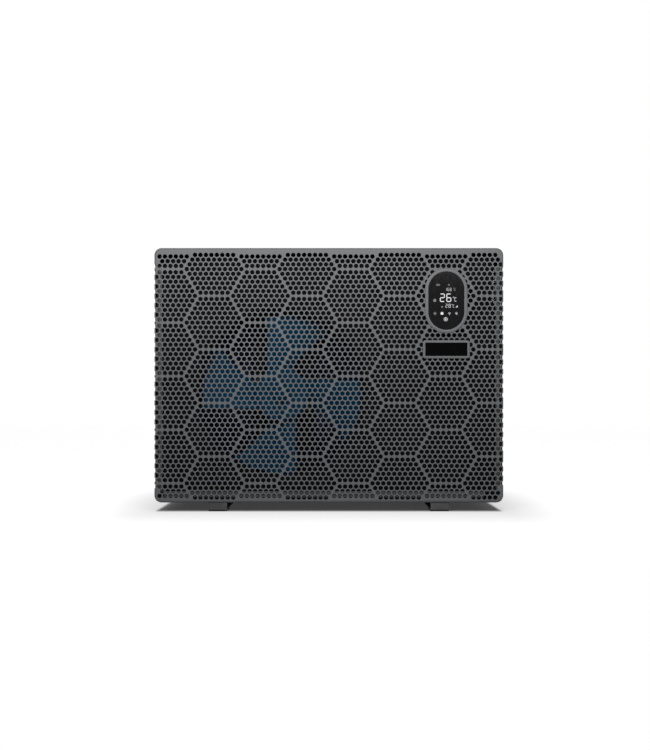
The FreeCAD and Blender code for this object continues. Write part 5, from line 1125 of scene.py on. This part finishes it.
faint = [circle(on_glass(18.6, 30.8), 1.0, 0.8, 10), circle(on_glass(21.8, 25.6), 1.0, 0.8, 10)]
faint += [bar(on_glass(18.0, 24.6), on_glass(22.4, 31.6), 0.8)]
faint += [circle(on_glass(-29.0, 0.5), 2.9, 1.9, 20), disc(on_glass(-29.0, 0.5), 1.8, 12)]
faint += [circle(on_glass(right, 39.2), 1.9, 1.2, 12) for right in (-22.9, -18.3)]
faint += snowflake(on_glass(6.2, 39.2), 3.2) + [disc(on_glass(-10.8, -15.6), 2.2, 12)]
faint += [circle(on_glass(-28.4, -32.0), 3.6, 1.3, 4), disc(on_glass(-28.4, -32.0), 1.6, 8)]
for name, shells, finish in (("bright_signs", bright, bright_sign), ("middle_signs", middle, middle_sign),
                             ("faint_signs", faint, faint_sign)):
    add_piece(name, *stack_shells(shells), finish, "window_black")

# %% [markdown]
# ## The finned coil
# Seen through the guard, the louvres and the fan, the evaporator is hundreds of thin upright fins
# pressed onto rows of copper tube, bent to an L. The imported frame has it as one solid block. Here each
# fin is one thin corrugated plate, and all of them are made at once: a place along the L gives a
# point and a direction across, and the fin's points are added to it.

# %% The line of the L
coil_low, coil_high = box_mm("evaporator_fins")
COIL_DEPTH, COIL_BEND = 44.0, 50.0
MIDDLE_BEND = COIL_BEND - COIL_DEPTH / 2
bend_centre = np.array([coil_low[0] + COIL_BEND, coil_high[1] - COIL_BEND])
straight, quarter = coil_high[0] - bend_centre[0], MIDDLE_BEND * pi / 2
coil_length = straight + quarter + (bend_centre[1] - coil_low[1])


def along_coil(distance):
    """The middle line of the L from its right-hand end: straight to the left, a quarter turn of the
    bend's radius less half the depth, and straight to the front. Returns points and the directions
    across, which lead to the outer side of the bend."""
    turn = np.clip((distance - straight) / quarter, 0, 1) * pi / 2
    across = np.stack([-np.sin(turn), np.cos(turn)], -1)
    points = bend_centre + MIDDLE_BEND * across
    points[:, 0] -= np.minimum(distance - straight, 0)
    points[:, 1] -= np.maximum(distance - straight - quarter, 0)
    return points, across


print("the coil is", round(coil_length), "mm along its middle")

# %% Fins
FIN_PITCH, FIN_GAUGE, FIN_WAVE = 1.6, 0.4, 1.4
FIN_STATIONS, TIGHTEST = 7, 0.35


def make_fins():
    """Each fin is a strip of seven stations across the depth, each with two thin sides, moved to and
    fro along the L by a triangle wave for its corrugation, and raised from the coil's foot to its
    head as a closed four-sided tube. On the bend it is thinner towards the inner side, by its
    distance from the bend's centre over that of the middle line."""
    places = np.arange(FIN_GAUGE, coil_length - FIN_GAUGE, FIN_PITCH)
    points, across = along_coil(places)
    along = np.stack([across[:, 1], -across[:, 0]], -1)
    station = np.linspace(-0.5, 0.5, FIN_STATIONS) * COIL_DEPTH
    wave = FIN_WAVE * np.where(np.arange(FIN_STATIONS) % 2, 0.5, -0.5)
    middle = points[:, None] + across[:, None] * station[None, :, None]
    tight = np.clip(1 + station / MIDDLE_BEND, TIGHTEST, 1)[None, :, None]
    near, far = (middle + along[:, None] * (wave[None, :, None] + side * FIN_GAUGE / 2) * tight
                 for side in (-1, 1))
    corners = ((near, coil_low[2]), (far, coil_low[2]), (far, coil_high[2]), (near, coil_high[2]))
    solid = np.stack([np.insert(side, 2, z, axis=2) for side, z in corners], 2)
    return solid.reshape(-1, 3), [repeat_faces(tube_faces(FIN_STATIONS), len(places), 4 * FIN_STATIONS)]


add_piece("coil_fins", *make_fins(), fin_blue, "fin_blue", stands_for=["evaporator_fins"], crease=20.0)

# %% Tubes through the fins
TUBE_RADIUS, TUBE_PITCH, TUBE_FIRST, TUBE_LEVELS = 4.8, 25.4, 7.3, 24


def make_tubes():
    """48 tubes: at each of 24 levels, two lines a quarter of the depth either side of the middle. A
    tube is a ring of eight points carried along the L, with a lid of triangles at each end."""
    places = np.concatenate([[0.0], straight + quarter * np.linspace(0, 1, 7), [coil_length]])
    points, across = along_coil(places)
    turn = np.arange(8) * pi / 4
    tubes = []
    for level in range(TUBE_LEVELS):
        for row in (-0.25, 0.25):
            reach = row * COIL_DEPTH + TUBE_RADIUS * np.cos(turn)
            height = coil_low[2] + TUBE_FIRST + level * TUBE_PITCH + TUBE_RADIUS * np.sin(turn)
            flat = points[:, None] + across[:, None] * reach[None, :, None]
            raised = np.broadcast_to(height[None, :, None], (*flat.shape[:2], 1))
            rings = np.concatenate([flat, raised], -1)
            tubes += [rings.reshape(-1, 3), rings[[0, -1]].mean(1)]
    hub, last = 8 * len(places), 8 * (len(places) - 1)
    corner = np.arange(8)
    after = np.roll(corner, -1)
    lids = np.concatenate([np.stack([np.full(8, hub), after, corner], -1),
                           np.stack([np.full(8, hub + 1), last + corner, last + after], -1)])
    tables = [grid_faces(len(places), 8, False, True), lids]
    return np.concatenate(tubes), [repeat_faces(table, 2 * TUBE_LEVELS, hub + 2) for table in tables]


# The tubes' near-black tone is painted shade deep in the coil.
add_piece("coil_tubes", *make_tubes(), shade_darkened_tube, "copper")

# %% [markdown]
# ## Floor and lamps
# A studio sweep is white, and so is the world, but only where the camera, a mirror or glass looks at
# it: a lamp level that made them white by themselves would wash the object out. So the floor adds
# a glow for those rays, and the glow fades out under and around the machine's foot: a painted shadow,
# set in the floor's own coordinates, on top of the real shadow that the lamps cast. A wide soft lamp
# above and in front makes the front brighter at the top than at the foot, a weak one fills in from the
# side, and a third lights the back.

# %% Floor
FLOOR_HALF, FLOOR_GLOW = 9.0, 0.92
SIDE_INSET, FRONT_INSET, SHADE_STRETCH = 8.0, 20.0, 0.42
# Each ramp of the painted shadow in the glow: from and to which distance from the machine's foot, from and to
# which share of the glow.
SHARP_PAINTED_SHADOW, SOFT_PAINTED_SHADOW = (0.0, 0.014, 0.081, 1.0), (-0.06, 0.24, 0.58, 1.0)


def beyond(tree, value, middle, half):
    """How far a value is beyond a middle by more than a half width, or else zero."""
    apart = maths(tree, "ABSOLUTE", maths(tree, "SUBTRACT", value, middle))
    return maths(tree, "MAXIMUM", maths(tree, "SUBTRACT", apart, half), 0.0)


def looked_at(tree):
    """One for the rays of the camera, a mirror or glass, and zero for the rays that carry light."""
    rays = add_node(tree, "ShaderNodeLightPath").outputs
    straight_or_mirrored = maths(tree, "ADD", rays["Is Camera Ray"], rays["Is Glossy Ray"])
    return maths(tree, "ADD", straight_or_mirrored, rays["Is Transmission Ray"], clamp=True)


floor_mesh = bpy.data.meshes.new("floor")
floor_corners = [(x * FLOOR_HALF, y * FLOOR_HALF, 0) for x, y in ((-1, -1), (1, -1), (1, 1), (-1, 1))]
floor_mesh.from_pydata(floor_corners, [], [(0, 1, 2, 3)])
floor = add_object("floor", floor_mesh)
floor_finish, tree, shader, place = start_finish("floor")
spot = add_node(tree, "ShaderNodeSeparateXYZ", {0: place})
case_width = box_mm("right_side_panel")[1][0] - box_mm("left_side_panel")[0][0]
foot_x = (case_width / 2 - SIDE_INSET) * MM
shade_front, shade_back = panel_low[1] + FRONT_INSET, box_mm("rear_service_panel")[1][1]
foot_y, mid_y = (shade_back - shade_front) / 2 * MM, (shade_back + shade_front) / 2 * MM
out_x = beyond(tree, spot.outputs["X"], 0.0, foot_x)
out_y = maths(tree, "MULTIPLY", beyond(tree, spot.outputs["Y"], mid_y, foot_y), SHADE_STRETCH)
squares = maths(tree, "ADD", maths(tree, "POWER", out_x, 2.0), maths(tree, "POWER", out_y, 2.0))
away = maths(tree, "POWER", squares, 0.5)
# The glow fades to a share near the machine's foot: a painted shadow under and around it.
glow_past_painted_shadow = maths(tree, "MULTIPLY", between(tree, away, *SHARP_PAINTED_SHADOW), between(tree, away, *SOFT_PAINTED_SHADOW))
glow = maths(tree, "MULTIPLY", maths(tree, "MULTIPLY", glow_past_painted_shadow, looked_at(tree)), FLOOR_GLOW)
fill(tree, shader, {"Emission Strength": glow, "Emission Color": (1, 1, 1, 1), "Roughness": 0.9,
                    "Base Color": (0.45, 0.45, 0.45, 1), "Specular IOR Level": 0.0})
floor_mesh.materials.append(floor_finish)
print("floor glow", FLOOR_GLOW)

# %% World and lamps
SKY_LIGHT = 0.158
world = bpy.data.worlds.new("studio")
world.use_nodes = True
bpy.context.scene.world = world
sky = world.node_tree
sky_level = maths(sky, "MULTIPLY_ADD", looked_at(sky), 1.0 - SKY_LIGHT, SKY_LIGHT)
fill(sky, sky.nodes["Background"], {"Color": (1, 1, 1, 1), "Strength": sky_level})


def soft_lamp(name, at, aim, width, height, power):
    """A rectangular area lamp at a place, turned to face another."""
    data = bpy.data.lights.new(name, "AREA")
    data.shape, data.size, data.size_y, data.energy = "RECTANGLE", width, height, power
    lamp = add_object(name, data)
    lamp.location = at
    x, y, z = np.array(aim) - np.array(at)
    lamp.rotation_euler = (float(np.arctan2(np.hypot(x, y), -z)), 0.0, float(np.arctan2(-x, y)))


# Each lamp: its name, its place, where it aims, its width and height in metres, and its power.
LAMPS = [("key lamp", (-0.08, -1.15, 0.93), (-0.08, -0.2, 1.00), 1.5, 0.4, 14.7),
         ("side lamp", (1.9, -1.0, 1.0), (0.0, 0.1, 0.3), 1.2, 1.2, 2.6),
         ("back lamp", (-1.2, 1.9, 1.3), (0.0, 0.0, 0.3), 1.4, 1.4, 8.0)]
for lamp in LAMPS:
    soft_lamp(*lamp)
print("lamps:", [name for name, *_ in LAMPS])

# %% [markdown]
# ## Finish
# The visual model must be the size of the imported one, so the imported frame's box is printed.

# %% Sizes and the last line
print("cad box", np.round(cad_box, 4).tolist())
